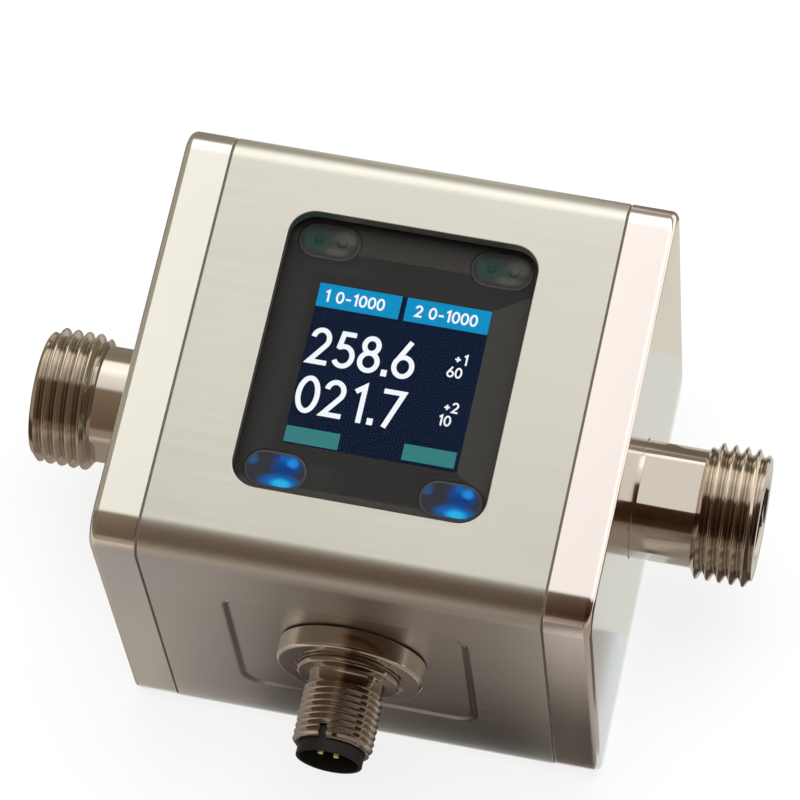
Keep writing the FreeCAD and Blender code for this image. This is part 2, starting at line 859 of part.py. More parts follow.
def key_detectors():
    """The light detectors on the display board, one under each key."""
    body = new_body("key_detectors")
    outline = sketch_on(body, "XY_Plane")
    for spot in keys.values():
        rectangle(outline, s.detector_length, s.detector_width, *spot)
    pad(body, outline, s.detector_height)
    place(body, y=s.window_rise, z=board_top)


def board(label, width, height, holes):
    body = new_body(label)
    outline = sketch_on(body, "XY_Plane")
    rectangle(outline, width, height)
    for spot in holes:
        circle(outline, s.screw_diameter, *spot)
    pad(body, outline, s.board_thickness)
    return body


def screws(label, spots, reach, upward):
    """Round-headed screws: heads from level 0 to one side, shanks to the other."""
    body = new_body(label)
    heads = sketch_on(body, "XY_Plane")
    for spot in spots:
        circle(heads, s.head_diameter, *spot)
    pad(body, heads, s.head_height, reverse=upward)
    shanks = sketch_on(body, "XY_Plane")
    for spot in spots:
        circle(shanks, s.screw_diameter, *spot)
    pad(body, shanks, reach, reverse=not upward)
    return body


def display_stack():
    display_board = board("display_board", glass_width, glass_height, display_posts)
    place(display_board, y=s.window_rise, z=board_bottom)
    block("display_panel", s.panel_width, s.panel_height, s.panel_thickness, 0, s.window_rise, board_top)
    reach = s.board_thickness + s.panel_thickness - s.screw_tip_gap
    place(screws("display_screws", display_posts, reach, upward=True), y=s.window_rise, z=board_bottom)
    key_detectors()
    for name, spot in keys.items():
        key_lens(f"key_lens_{name}", spot)


# Main board, at the back of the housing

def main_board_stack():
    main_board = board("main_board", main_board_half_length * 2, main_board_half_height * 2, main_holes)
    place(main_board, z=main_board_bottom)
    standoffs = new_body("board_standoffs")
    outline = sketch_on(standoffs, "XY_Plane")
    for spot in main_holes:
        circle(outline, s.standoff_diameter, *spot)
        circle(outline, s.screw_diameter, *spot)
    pad(standoffs, outline, s.standoff_height)
    place(standoffs, z=-inner_depth / 2)
    reach = s.board_thickness + s.standoff_height - s.screw_tip_gap
    place(screws("main_board_screws", main_holes, reach, upward=False), z=main_board_top)
    x, z = s.plug_side, main_board_top
    block("lead_header", s.header_length, s.header_width, s.header_height, x, -header_drop, z)
    block("signal_processor", s.chip_side, s.chip_side, s.chip_height, x, s.chip_rise, z)


# Ribbons and leads inside the housing

def display_ribbon():
    """A flat ribbon from a socket under the display board, past the yoke, to one on the main board."""
    inset = s.socket_inset + s.socket_reach / 2
    upper_y = glass_height / 2 + s.window_rise - inset
    upper_socket = board_bottom - s.socket_height
    block("display_ribbon_socket", s.ribbon_width, s.socket_reach, s.socket_height, 0, upper_y, upper_socket)
    lower_y = main_board_half_height - inset
    block("main_ribbon_socket", s.ribbon_width, s.socket_reach, s.socket_height, 0, lower_y, main_board_top)
    body = new_body("display_ribbon")
    strip = sketch_on(body, "YZ_Plane")
    thick = s.ribbon_thickness
    near = yoke_half_height + s.ribbon_gap
    far = near + thick
    upper_end = upper_y + s.socket_reach / 2
    lower_end = lower_y + s.socket_reach / 2
    high = board_bottom - s.socket_height / 2
    low = main_board_top + s.socket_height / 2
    polygon(strip, [
        (upper_end, high), (upper_end, high - thick), (near, high - thick), (near, low + thick),
        (lower_end, low + thick), (lower_end, low), (far, low), (far, high),
    ])
    pad(body, strip, s.ribbon_width, both_ways=True)


def plug_ribbon():
    """A flat ribbon from the plug's solder board down to the header on the main board."""
    body = new_body("plug_ribbon")
    strip = sketch_on(body, "YZ_Plane")
    thick = s.ribbon_thickness
    near, far = -plug_board_face, -(plug_board_face + thick)
    top = s.plug_rise - s.pin_circle / 2 - s.pin_diameter / 2 - s.plug_ribbon_gap
    end = -(header_drop + s.header_width / 2)
    low = main_board_top + s.header_height / 2
    polygon(strip, [(near, top), (far, top), (far, low), (end, low), (end, low + thick), (near, low + thick)])
    pad(body, strip, s.plug_ribbon_width, both_ways=True)
    place(body, s.plug_side)


def lead(label, start, y, z):
    """A wire that leaves along +X from start, bends down and ends on the main board."""
    body = new_body(label)
    route = sketch_on(body, "XZ_Plane", -y)
    column, bend = lead_column, s.lead_bend
    along = route.addGeometry(Part.LineSegment(point(start, z), point(column - bend, z)), False)
    corner = arc(route, (column - bend, z - bend), bend, 0, 1)
    down = route.addGeometry(Part.LineSegment(point(column, z - bend), point(column, main_board_top)), False)
    route.addConstraint(Sketcher.Constraint("Tangent", along, 2, corner, 2))
    route.addConstraint(Sketcher.Constraint("Tangent", corner, 1, down, 1))
    route.addConstraint(Sketcher.Constraint("Horizontal", along))
    route.addConstraint(Sketcher.Constraint("Vertical", down))
    size_rule(route, "Radius", corner, bend)
    fix_point(route, along, 1, start, z)
    fix_point(route, down, 2, column, main_board_top)
    section = sketch_on(body, "YZ_Plane", start)
    circle(section, s.lead_diameter, y, z)
    wire = body.newObject("PartDesign::AdditivePipe", "Wire")
    wire.Profile = section
    wire.Spine = (route, ["Edge1", "Edge2", "Edge3"])


def leads():
    tail = insulator_top + s.electrode_nut_height + s.electrode_tail / 2
    coil_y = tube_radius + s.lead_clearance
    coil_start = (s.coil_diameter / 2).side_of(coil_y - s.lead_diameter / 2)
    coil_z = pole_top + bobbin_height / 2
    for name, side in (("plug_side", LOWER), ("far_side", UPPER)):
        lead(f"{name}_electrode_lead", s.electrode_diameter / 2, tail * side, 0)
    for name, side in (("lower", LOWER), ("upper", UPPER)):
        lead(f"{name}_coil_lead", coil_start, coil_y * side, coil_z * side)
    wire = doc.addObject("Part::Cylinder", "sensor_lead")
    wire.setExpression("Radius", (s.lead_diameter / 2).text)
    wire.setExpression("Height", (-(main_board_top + sensor_depth)).text)
    nodes.append(wire)
    place(wire, sensor_place(), z=main_board_top)


# Plug, built along its own X axis from the floor of the pocket outward

def seat_plug(piece):
    turn = toward_height(LOWER) * turned((1, 0, 0), KEY_TURN)
    place(piece, s.plug_side, -plug_floor, s.plug_rise, turn=turn)


def plug_seal():
    seal = ring("plug_seal", s.plug_seal_diameter, stem_hole, s.plug_seal_thickness)
    seat_plug(seal)


def plug_flange():
    body = new_body("plug_flange")
    bore = stem_hole / 2
    rim = s.flange_diameter / 2
    seat = s.flange_seat_diameter / 2
    revolve(body, [
        (s.plug_seal_thickness, bore), (s.plug_seal_thickness, rim), (flange_face - s.flange_edge, rim),
        (flange_face, rim - s.flange_edge), (flange_face, seat), (collar_start, seat), (collar_start, bore),
    ])
    seat_plug(body)


def plug_shell():
    """Stem through the wall, collar on the flange, shank and threaded barrel with a key notch."""
    body = new_body("plug_shell")
    bore = s.insert_diameter / 2 + s.insert_clearance
    stem = s.stem_diameter / 2
    collar = s.collar_diameter / 2
    shank = s.shank_diameter / 2
    thread = s.plug_thread_diameter / 2
    lead_in = s.plug_thread_chamfer
    revolve(body, [
        (stem_start, bore), (stem_start, stem), (collar_start, stem), (collar_start, collar),
        (collar_end, collar), (collar_end, shank), (thread_start, shank), (thread_start + lead_in, thread),
        (thread_end - lead_in, thread), (thread_end, thread - lead_in), (thread_end, bore),
    ])
    notch = sketch_on(body, "YZ_Plane", thread_end)
    half = s.notch_width / 2
    polygon(notch, [(-half, shank / 2), (half, shank / 2), (half, collar), (-half, collar)])
    pocket(body, notch, s.notch_depth)
    seat_plug(body)


def pin_spots():
    """The centre and the points of the pin circle, spread evenly from the one across from the key."""
    spots = [(0, 0)]
    for step in range(PINS_ROUND):
        turn = 2 * math.pi * step / PINS_ROUND
        spots.append((s.pin_circle / 2 * math.sin(turn), s.pin_circle / -2 * math.cos(turn)))
    return spots


def plug_insert():
    body = new_body("plug_insert")
    wall = s.insert_diameter / 2
    cup = wall - s.insert_wall
    revolve(body, [
        (stem_start, 0), (stem_start, wall), (insert_end, wall),
        (insert_end, cup), (cup_floor, cup), (cup_floor, 0),
    ])
    rib = sketch_on(body, "YZ_Plane", cup_floor)
    half = s.notch_width / 2
    crest, root = cup - s.rib_height, (wall + cup) / 2
    polygon(rib, [(-half, crest), (half, crest), (half, root), (-half, root)])
    pad(body, rib, s.insert_cup_depth - s.rib_setback)
    holes = sketch_on(body, "YZ_Plane")
    for spot in pin_spots():
        circle(holes, s.pin_diameter + s.pin_clearance * 2, *spot)
    pocket(body, holes)
    seat_plug(body)


def plug_pins():
    body = new_body("plug_pins")
    pin_start = stem_start - s.pin_tail
    outline = sketch_on(body, "YZ_Plane", pin_start)
    for spot in pin_spots():
        circle(outline, s.pin_diameter, *spot)
    pad(body, outline, insert_end - s.pin_setback - pin_start)
    seat_plug(body)


def plug_board():
    """A small round board on the pins' solder ends."""
    body = new_body("plug_board")
    outline = sketch_on(body, "YZ_Plane", plug_board_face - plug_floor)
    circle(outline, s.plug_board_diameter)
    for spot in pin_spots():
        circle(outline, s.pin_diameter + s.pin_clearance * 2, *spot)
    pad(body, outline, s.plug_board_thickness, reverse=True)
    seat_plug(body)


def plug_nut():
    body = new_body("plug_nut")
    outline = sketch_on(body, "YZ_Plane", -wall_under_plug)
    hexagon(outline, s.plug_nut_across)
    circle(outline, s.stem_diameter)
    pad(body, outline, s.plug_nut_height, reverse=True)
    seat_plug(body)


# The whole meter

def build():
    centre_shell()
    for name, side in (("inlet", INLET), ("outlet", OUTLET)):
        end_cap(f"{name}_end_cap", side)
        seam_gasket(f"{name}_seam_gasket", side)
        pipe_fitting(f"{name}_fitting", side)
        neck_seal(f"{name}_neck_seal", side)
        liner_seal(f"{name}_liner_seal", side)
    measuring_tube()
    liner()
    temperature_sensor()
    for name, side in (("plug_side", LOWER), ("far_side", UPPER)):
        electrode(f"{name}_electrode", side)
        electrode_insulator(f"{name}_electrode_insulator", side)
        electrode_nut(f"{name}_electrode_nut", side)
    for name, side in (("lower", LOWER), ("upper", UPPER)):
        pole_shoe(f"{name}_pole_shoe", side)
        coil_bobbin(f"{name}_coil_bobbin", side)
        coil_winding(f"{name}_coil_winding", side)
    magnet_yoke()
    window_seal()
    window_glass()
    display_frame()
    display_stack()
    main_board_stack()
    plug_seal()
    plug_flange()
    plug_shell()
    plug_insert()
    plug_pins()
    plug_board()
    plug_nut()
    display_ribbon()
    plug_ribbon()
    leads()


def check():
    for item in doc.Objects:
        if {"Invalid", "Error"} & set(item.State):
            raise ValueError(f"{item.Label}: {item.State}")
    for piece in nodes:
        if piece.Shape.isNull() or not piece.Shape.isValid():
            raise ValueError(f"{piece.Label}: no valid shape")


def export():
    os.makedirs("parts", exist_ok=True)
    for piece in nodes:
        piece.Shape.exportStep(f"parts/{piece.Label}.step")


build()
doc.recompute()
check()
export()
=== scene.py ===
import math

import bmesh
import bpy
import numpy as np
from mathutils import Matrix, Vector

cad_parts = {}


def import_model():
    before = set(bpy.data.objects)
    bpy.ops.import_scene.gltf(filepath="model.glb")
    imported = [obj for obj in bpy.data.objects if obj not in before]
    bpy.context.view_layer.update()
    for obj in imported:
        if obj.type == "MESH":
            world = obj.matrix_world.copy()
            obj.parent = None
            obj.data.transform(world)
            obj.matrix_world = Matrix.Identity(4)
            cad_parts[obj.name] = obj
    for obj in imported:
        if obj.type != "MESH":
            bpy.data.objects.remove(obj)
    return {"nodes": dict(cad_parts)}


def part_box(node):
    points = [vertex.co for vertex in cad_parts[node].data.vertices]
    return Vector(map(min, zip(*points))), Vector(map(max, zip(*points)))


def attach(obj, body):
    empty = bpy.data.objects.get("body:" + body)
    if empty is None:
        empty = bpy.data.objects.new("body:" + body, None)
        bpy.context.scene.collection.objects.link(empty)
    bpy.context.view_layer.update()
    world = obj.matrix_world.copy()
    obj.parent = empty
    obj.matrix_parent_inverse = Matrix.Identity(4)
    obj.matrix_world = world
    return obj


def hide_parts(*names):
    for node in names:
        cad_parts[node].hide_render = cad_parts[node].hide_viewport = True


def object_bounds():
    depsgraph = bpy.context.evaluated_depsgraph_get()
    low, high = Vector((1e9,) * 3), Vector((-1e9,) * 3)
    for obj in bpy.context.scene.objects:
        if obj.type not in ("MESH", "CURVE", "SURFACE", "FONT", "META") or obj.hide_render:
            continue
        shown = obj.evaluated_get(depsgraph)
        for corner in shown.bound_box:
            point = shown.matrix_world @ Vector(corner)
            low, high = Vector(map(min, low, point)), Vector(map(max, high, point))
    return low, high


# Looks of a compact electromagnetic flow meter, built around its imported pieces.
# The flow runs along +X, the display faces +Z with its top toward +Y, the plug points to -Y.
# Sizes are in millimetres, times MM where Blender takes metres, and angles in degrees, unless said.

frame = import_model()
nodes = frame["nodes"]
cad_low, cad_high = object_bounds()
scene = bpy.context.scene
MM = 0.001
TURN = 2 * math.pi
FLOOR_LEVEL = cad_low.z
# A small step in millimetres, a guard against zero, and the metres within which points merge
NUDGE, TINY, WELD = 0.01, 1e-6, 1e-7


def node_box(name):
    """The low and high corners of a node, in millimetres."""
    low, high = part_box(name)
    return low / MM, high / MM


# Materials

# A noise value mostly lies between these two
NOISE_LOW, NOISE_HIGH = 0.3, 0.7
# Places of the two colours and of their blend among the sockets of a Mix node
MIX_FIRST, MIX_SECOND, MIX_BLEND = 6, 7, 2
NUMBERS, VECTORS = "ShaderNodeMath", "ShaderNodeVectorMath"


def tinted(colour, factor):
    return tuple(channel * factor for channel in colour)


class Shader:
    """A node material with a Principled shader and short names for the nodes it uses."""

    def __init__(self, name, **values):
        self.material = bpy.data.materials.new(name)
        self.material.use_nodes = True
        self.tree = self.material.node_tree
        self.bsdf = self.tree.nodes["Principled BSDF"]
        for socket, value in values.items():
            self.set(socket.replace("_", " "), value)

    def set(self, socket, value):
        self.bsdf.inputs[socket].default_value = value

    def into(self, socket, output):
        self.link(output, self.bsdf.inputs[socket])

    def only_glow(self, strength):
        """Give light of this strength, and reflect none."""
        self.set("Base Color", (0.0, 0.0, 0.0, 1))
        self.set("Specular IOR Level", 0.0)
        self.set("Emission Strength", strength)

    def node(self, kind, **settings):
        made = self.tree.nodes.new(kind)
        for key, value in settings.items():
            if key in made.inputs:
                made.inputs[key].default_value = value
            else:
                setattr(made, key, value)
        return made

    def link(self, start, end):
        self.tree.links.new(start, end)

    def enter(self, socket, value):
        """Link a socket to an output, or set it to a plain value."""
        if isinstance(value, bpy.types.NodeSocket):
            self.link(value, socket)
        else:
            socket.default_value = value

    def where(self, kind):
        return self.node("ShaderNodeTexCoord").outputs[kind]

    def axes(self, kind):
        """The X, Y and Z outputs of a kind of coordinates."""
        parts = self.node("ShaderNodeSeparateXYZ")
        self.link(self.where(kind), parts.inputs["Vector"])
        return parts.outputs

    def place(self, scale):
        """Object coordinates stretched by a scale for each axis."""
        mapping = self.node("ShaderNodeMapping", Scale=scale)
        self.link(self.where("Object"), mapping.inputs["Vector"])
        return mapping.outputs["Vector"]

    def maths(self, kind, operation, first, second):
        """The result of a Math or Vector Math node on two values."""
        made = self.node(kind, operation=operation)
        self.enter(made.inputs[0], first)
        self.enter(made.inputs[1], second)
        return made.outputs[0]

    def length(self, vector):
        made = self.node(VECTORS, operation="LENGTH")
        self.link(vector, made.inputs[0])
        return made.outputs["Value"]

    def noise(self, scale, detail=2.0, stretch=(1, 1, 1), roughness=0.5):
        made = self.node("ShaderNodeTexNoise", Scale=scale, Detail=detail, Roughness=roughness)
        self.link(self.place(stretch), made.inputs["Vector"])
        return made.outputs["Fac"]

    def spread(self, value, low, high, start=NOISE_LOW, end=NOISE_HIGH, **settings):
        """A value that runs from start to end, spread over low to high."""
        limits = {"From Min": start, "From Max": end, "To Min": low, "To Max": high}
        made = self.node("ShaderNodeMapRange", **limits, **settings)
        self.link(value, made.inputs["Value"])
        return made.outputs["Result"]

    def ramp(self, value, stops):
        """Colours by a value, as (position, colour) stops."""
        made = self.node("ShaderNodeValToRGB")
        ends = made.color_ramp.elements
        while len(ends) < len(stops):
            ends.new(0.5)
        for stop, (position, colour) in zip(ends, stops):
            stop.position = position
            stop.color = (*colour, 1)
        self.link(value, made.inputs["Fac"])
        return made.outputs["Color"]

    def tones(self, noise, low_tone, high_tone):
        return self.ramp(noise, [(NOISE_LOW, low_tone), (NOISE_HIGH, high_tone)])

    def varied(self, noise, colour, share):
        """A colour that goes down and up by a share of itself with a noise."""
        return self.tones(noise, tinted(colour, 1 - share), tinted(colour, 1 + share))

    def mix(self, factor, first, second):
        """A blend of two colours, each an output or four plain channels."""
        made = self.node("ShaderNodeMix", data_type="RGBA")
        self.link(factor, made.inputs["Factor"])
        self.enter(made.inputs[MIX_FIRST], first)
        self.enter(made.inputs[MIX_SECOND], second)
        return made.outputs[MIX_BLEND]

    def bump(self, height, strength, depth):
        made = self.node("ShaderNodeBump", Strength=strength, Distance=depth * MM)
        self.link(height, made.inputs["Height"])
        self.into("Normal", made.outputs["Normal"])


# How the grain of a finish is stretched along each axis
EVEN, ALONG_X, ALONG_Y = (1, 1, 1), (0.05, 1, 1), (1, 0.08, 1)
TURNED, WOUND = (1, 0.3, 0.3), (0.2, 0.2, 4)
DRIFT_SCALE, DRIFT_DETAIL = 35, 3
STREAK_DETAIL, STREAK_ROUGHNESS = 4, 0.65
STREAK_BUMP, STREAK_DEPTH = 0.06, 0.02
THREAD_GRAIN, THREAD_STREAK = 1200, 0.03
# Painted shade: thread roots are painted darker, and flanks a little lighter, than the crest's tone, by
# these shares
ROOT_SHADE, FLANK_SHADE = 0.7, 1.08
GRAIN_DETAIL, GRAIN_TONE, GRAIN_GLOSS, GRAIN_BUMP = 3, 0.15, 0.05, 0.3
PIXEL_GRAIN, PIXEL_SHADE, HAZE_SCALE = 9000, 0.94, 60
# A little over the tone wanted, for what the glass takes away
PICTURE_GAIN = 1.28


def ground(shader, rough, streak, grain, stretch):
    """Fine streaks along the grinding, in the gloss and as a faint bump."""
    streaks = shader.noise(grain, STREAK_DETAIL, stretch, STREAK_ROUGHNESS)
    shader.into("Roughness", shader.spread(streaks, rough - streak, rough + streak))
    shader.bump(streaks, STREAK_BUMP, STREAK_DEPTH)


def steel(name, colour, rough, grain, stretch=EVEN, streak=0.03, variation=0.02, metal=1.0):
    """Ground steel with a faint drift of tone."""
    shader = Shader(name, Metallic=metal)
    drift = shader.noise(DRIFT_SCALE, DRIFT_DETAIL)
    shader.into("Base Color", shader.varied(drift, colour, variation))
    ground(shader, rough, streak, grain, stretch)
    return shader.material


def threaded(name, colour, rough, film):
    """Cut steel with painted shade: by the distance from the X axis, the roots are painted darker than the
    crests, and the flanks a little lighter.
    """
    shader = Shader(name, Metallic=1.0)
    root, crest = film
    reach = shader.length(shader.place((0, 1, 1)))
    share = shader.spread(reach, 0, 1, root * MM, crest * MM)
    stops = [(0.0, tinted(colour, ROOT_SHADE)), (0.5, tinted(colour, FLANK_SHADE)), (1.0, colour)]
    shader.into("Base Color", shader.ramp(share, stops))
    ground(shader, rough, THREAD_STREAK, THREAD_GRAIN, TURNED)
    return shader.material


def plastic(name, colour, rough, grain=2500, depth=0.01, gloss=0.5):
    """Moulded plastic or rubber with a fine grain."""
    shader = Shader(name, Specular_IOR_Level=gloss)
    fine = shader.noise(grain, GRAIN_DETAIL)
    shader.into("Base Color", shader.varied(fine, colour, GRAIN_TONE))
    shader.into("Roughness", shader.spread(fine, rough - GRAIN_GLOSS, rough + GRAIN_GLOSS))
    shader.bump(fine, GRAIN_BUMP, depth)
    return shader.material


def light_source(name, colour):
    """A lit picture element: its light has a faint pixel grain."""
    shader = Shader(name, Roughness=0.6)
    shader.only_glow(PICTURE_GAIN)
    grain = shader.noise(PIXEL_GRAIN, 1)
    shader.into("Emission Color", shader.tones(grain, tinted(colour, PIXEL_SHADE), colour))
    return shader.material


def window_glass_look():
    """Smoked glass with an anti-reflection coat: mostly clear, with little gloss."""
    shader = Shader("window_glass", Roughness=0.03, IOR=1.5, Alpha=0.12, Specular_IOR_Level=0.25)
    haze = shader.noise(HAZE_SCALE)
    shader.into("Base Color", shader.tones(haze, (0.006, 0.006, 0.006), (0.010, 0.010, 0.010)))
    return shader.material


SHELL_TONE = (0.72, 0.71, 0.645)
# The outlet cap's tone is a brighter, pinker copy of the inlet cap's: painted light on the right-hand side
# of the meter
INLET_CAP_TONE, OUTLET_CAP_LIT_TONE = (0.79, 0.77, 0.705), (0.93, 0.86, 0.83)
FITTING_TONE, FLANGE_TONE = (0.62, 0.565, 0.50), (0.68, 0.63, 0.57)
THREAD_TONE, PLUG_TONE = (0.61, 0.54, 0.455), (0.50, 0.435, 0.37)
# Radii between which the painted shade on a thread goes from its root's dark tone to its crest's
PIPE_SHADE_RADII, PLUG_SHADE_RADII = (9.35, 10.45), (5.35, 5.98)
CAP_FINISH = {"rough": 0.15, "grain": 900, "stretch": ALONG_Y, "streak": 0.02, "variation": 0.015}
COARSE = {"streak": 0.06, "variation": 0.04}

# The look of each slot in the record
LOOKS = {
    "shell_steel": steel("shell_steel", SHELL_TONE, rough=0.37, grain=900, stretch=ALONG_X),
    "cap_steel": steel("cap_steel", INLET_CAP_TONE, **CAP_FINISH),
    "fitting_steel": steel("fitting_steel", FITTING_TONE, rough=0.10, grain=1200, stretch=TURNED),
    "plug_metal": steel("plug_metal", PLUG_TONE, rough=0.12, grain=1500, variation=0.03),
    "electrode_alloy": steel("electrode_alloy", (0.60, 0.60, 0.60), rough=0.25, grain=1500, **COARSE),
    "copper_wire": steel("copper_wire", (0.78, 0.36, 0.18), rough=0.3, grain=3000, stretch=WOUND, **COARSE),
    "soft_iron": steel("soft_iron", (0.32, 0.31, 0.30), rough=0.4, grain=700, **COARSE),
    "gold_contact": steel(
        "gold_contact", (0.95, 0.84, 0.22), rough=0.45, grain=3000, streak=0.05, variation=0.04, metal=0.15,
    ),
    "seal_rubber": plastic("seal_rubber", (0.022, 0.020, 0.018), rough=0.6),
    "liner_plastic": plastic("liner_plastic", (0.72, 0.70, 0.64), rough=0.45),
    "black_plastic": plastic("black_plastic", (0.011, 0.010, 0.010), rough=0.5, gloss=0.25),
    "board_resin": plastic("board_resin", (0.02, 0.12, 0.05), rough=0.4, grain=1200),
    "ribbon_film": plastic("ribbon_film", (0.55, 0.36, 0.10), rough=0.3),
    "lead_sheath": plastic("lead_sheath", (0.35, 0.04, 0.03), rough=0.5),
    "dark_lens": plastic("dark_lens", (0.02, 0.03, 0.025), rough=0.2),
    "lit_lens": plastic("lit_lens", (0.01, 0.03, 0.12), rough=0.2),
    "display_face": plastic("display_face", (0.004, 0.005, 0.012), rough=0.4),
    "window_glass": window_glass_look(),
}
OUTLET_CAP_LIT_LOOK = steel("outlet_cap_lit_steel", OUTLET_CAP_LIT_TONE, **CAP_FINISH)
FLANGE_LOOK = steel("flange_steel", FLANGE_TONE, rough=0.12, grain=1200)
POCKET_LOOK = steel("pocket_steel", SHELL_TONE, rough=0.12, grain=900)
PIPE_LOOK = threaded("thread_steel", THREAD_TONE, rough=0.12, film=PIPE_SHADE_RADII)
BARREL_LOOK = threaded("barrel_steel", PLUG_TONE, rough=0.10, film=PLUG_SHADE_RADII)
MASK_LOOK = plastic("mask_print", (0.040, 0.037, 0.034), rough=0.6, grain=4000, depth=0.002)
SEAM_LOOK = plastic("seam_gasket", (0.10, 0.085, 0.07), rough=0.6)
RIM_LOOK = plastic("lens_rim", (0.050, 0.048, 0.046), rough=0.5, grain=3000)
PICTURE_TONES = {
    "night": (0.0020, 0.0080, 0.028), "blue": (0.002, 0.275, 0.56),
    "teal": (0.038, 0.205, 0.215), "white": (0.92, 0.96, 1.0),
}
PICTURE_LOOKS = {name: light_source(f"picture_{name}", tone) for name, tone in PICTURE_TONES.items()}


# Meshes

# Angles between faces: nearly flat, still soft, sharp, and smooth in the shading
FLAT_ANGLE, SOFT_ANGLE, SHARP_ANGLE, SMOOTH_ANGLE = 0.2, 15, 40, 45
ROUND_SEGMENTS, FLAT_WEIGHT = 4, 100
ROUND_POINTS, SPARE_TURNS = 5, 2


def finished(bm, name):
    """A mesh made of a bmesh, which is freed."""
    mesh = bpy.data.meshes.new(name)
    bm.to_mesh(mesh)
    bm.free()
    return mesh


def add_object(name, data):
    made = bpy.data.objects.new(name, data)
    scene.collection.objects.link(made)
    return made


def add_piece(name, bm, look, replaced=(), smooth=30, matrix=None):
    """Turn a bmesh into a piece of the meter that rides on its one body."""
    bmesh.ops.recalc_face_normals(bm, faces=bm.faces)
    mesh = finished(bm, name)
    if "custom_normal" in mesh.attributes:
        mesh.attributes.remove(mesh.attributes["custom_normal"])
    mesh.materials.append(look)
    mesh.shade_smooth()
    mesh.set_sharp_from_angle(angle=math.radians(smooth))
    piece = add_object(name, mesh)
    if matrix is not None:
        piece.matrix_world = matrix
    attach(piece, "root")
    if replaced:
        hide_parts(*replaced)
    return piece


def sharp_edges(bm, degrees, wanted=None):
    limit = math.radians(degrees)
    found = []
    for edge in bm.edges:
        if len(edge.link_faces) != 2 or edge.calc_face_angle(0) < limit:
            continue
        if wanted is None or wanted(edge):
            found.append(edge)
    return found


def ease_edges(bm, edges, width, segments=2):
    bmesh.ops.bevel(
        bm, geom=edges, offset=width * MM, offset_type="OFFSET", segments=segments,
        profile=0.5, affect="EDGES", clamp_overlap=True,
    )


def eased_node(node, width, look, soft_edge=None, soft_width=0):
    """A node's own shape with its sharp edges broken, as a machined piece has them.

    Edges that soft_edge picks are rounded by soft_width first.
    """
    bm = bmesh.new()
    bm.from_mesh(nodes[node].data)
    bmesh.ops.remove_doubles(bm, verts=bm.verts, dist=WELD)
    flat = math.radians(FLAT_ANGLE)
    bmesh.ops.dissolve_limit(bm, angle_limit=flat, verts=bm.verts, edges=bm.edges)
    if soft_edge:
        ease_edges(bm, sharp_edges(bm, SOFT_ANGLE, soft_edge), soft_width, ROUND_SEGMENTS)
    ease_edges(bm, sharp_edges(bm, SHARP_ANGLE), width)
    piece = add_piece(f"{node}_eased", bm, look, [node], SMOOTH_ANGLE)
    # Flat faces stay flat next to their rounded edges
    weighted = piece.modifiers.new("flat_faces", "WEIGHTED_NORMAL")
    weighted.keep_sharp = True
    weighted.weight = FLAT_WEIGHT
    return piece


def thread_profile(pitch, depth, half_angle, radius):
    """Offsets along the axis and depths below the crest over one pitch, with a round crest and root."""
    swing = math.radians(90 - half_angle)
    turns = np.linspace(-swing, swing, ROUND_POINTS)
    crest = [(radius * math.sin(t), radius * (1 - math.cos(t))) for t in turns]
    root = [(pitch / 2 + along, depth - below) for along, below in crest]
    return crest + root


def turned_mesh(angles, rings, thread):
    """A closed body turned about X.

    Each ring is (x, radius) with a radius that is a number or a function of the angle. The thread is a
    dict that stands in the list of rings as None: start, end, crest, profile, pitch and envelope.
    """
    bm = bmesh.new()
    count = len(angles)

    def spin(x, radius, angle):
        return bm.verts.new((x * MM, radius * math.cos(angle) * MM, radius * math.sin(angle) * MM))

    def loop(ring):
        x, radius = ring
        return [spin(x, radius(a) if callable(radius) else radius, a) for a in angles]

    def bridge(first, second):
        for j in range(count):
            k = (j + 1) % count
            bm.faces.new((first[j], first[k], second[k], second[j]))

    def helix():
        start, end, pitch, envelope = (thread[key] for key in ("start", "end", "pitch", "envelope"))
        steps = len(thread["profile"])
        turns = math.ceil((end - start) / pitch) + 2 * SPARE_TURNS
        rows = []
        for row in range(turns * steps):
            along, below = thread["profile"][row % steps]
            base = start + (row // steps - SPARE_TURNS) * pitch + along
            line = []
            for angle in angles:
                x = min(max(base + pitch * angle / TURN, start), end)
                radius = envelope(x)
                if start < x < end:
                    radius = min(radius, thread["crest"] - below)
                line.append(spin(x, radius, angle))
            rows.append(line)
        for row in range(len(rows) - 1):
            for j in range(count - 1):
                bm.faces.new((rows[row][j], rows[row][j + 1], rows[row + 1][j + 1], rows[row + 1][j]))
            if row + 1 + steps < len(rows):
                far, farther = rows[row + steps][0], rows[row + 1 + steps][0]
                bm.faces.new((rows[row][-1], far, farther, rows[row + 1][-1]))
        return rows[0], rows[-1]

    previous = first = None
    for ring in rings:
        if ring is None:
            begin, finish = helix()
        else:
            begin = finish = loop(ring)
        if previous is None:
            first = begin
        else:
            bridge(previous, begin)
        previous = finish
    bridge(previous, first)
    bmesh.ops.remove_doubles(bm, verts=bm.verts, dist=2 * WELD)
    bmesh.ops.dissolve_degenerate(bm, edges=bm.edges, dist=WELD)
    loose = [v for v in bm.verts if not v.link_faces]
    bmesh.ops.delete(bm, geom=loose, context="VERTS")
    return bm


def even_angles(count, fixed=()):
    """Angles round a turn, with the nearest ones moved onto the fixed angles."""
    angles = [TURN * j / count for j in range(count)]
    for wanted in fixed:
        nearest = min(range(count), key=lambda j: abs(angles[j] - wanted))
        angles[nearest] = wanted
    return angles


def mark_thread(bm, start, radius):
    """Faces past start and outside a radius take the piece's second material."""
    for face in bm.faces:
        middle = face.calc_center_median()
        if middle.x > start * MM and math.hypot(middle.y, middle.z) > radius * MM:
            face.material_index = 1


def slab(bm, x0, y0, x1, y1, z0, z1):
    spots = [Vector((x, y, z)) for z in (z0, z1) for y in (y0, y1) for x in (x0, x1)]
    corners = [bm.verts.new(spot * MM) for spot in spots]
    for face in ((0, 2, 3, 1), (4, 5, 7, 6), (0, 1, 5, 4), (1, 3, 7, 5), (3, 2, 6, 7), (2, 0, 4, 6)):
        bm.faces.new([corners[k] for k in face])


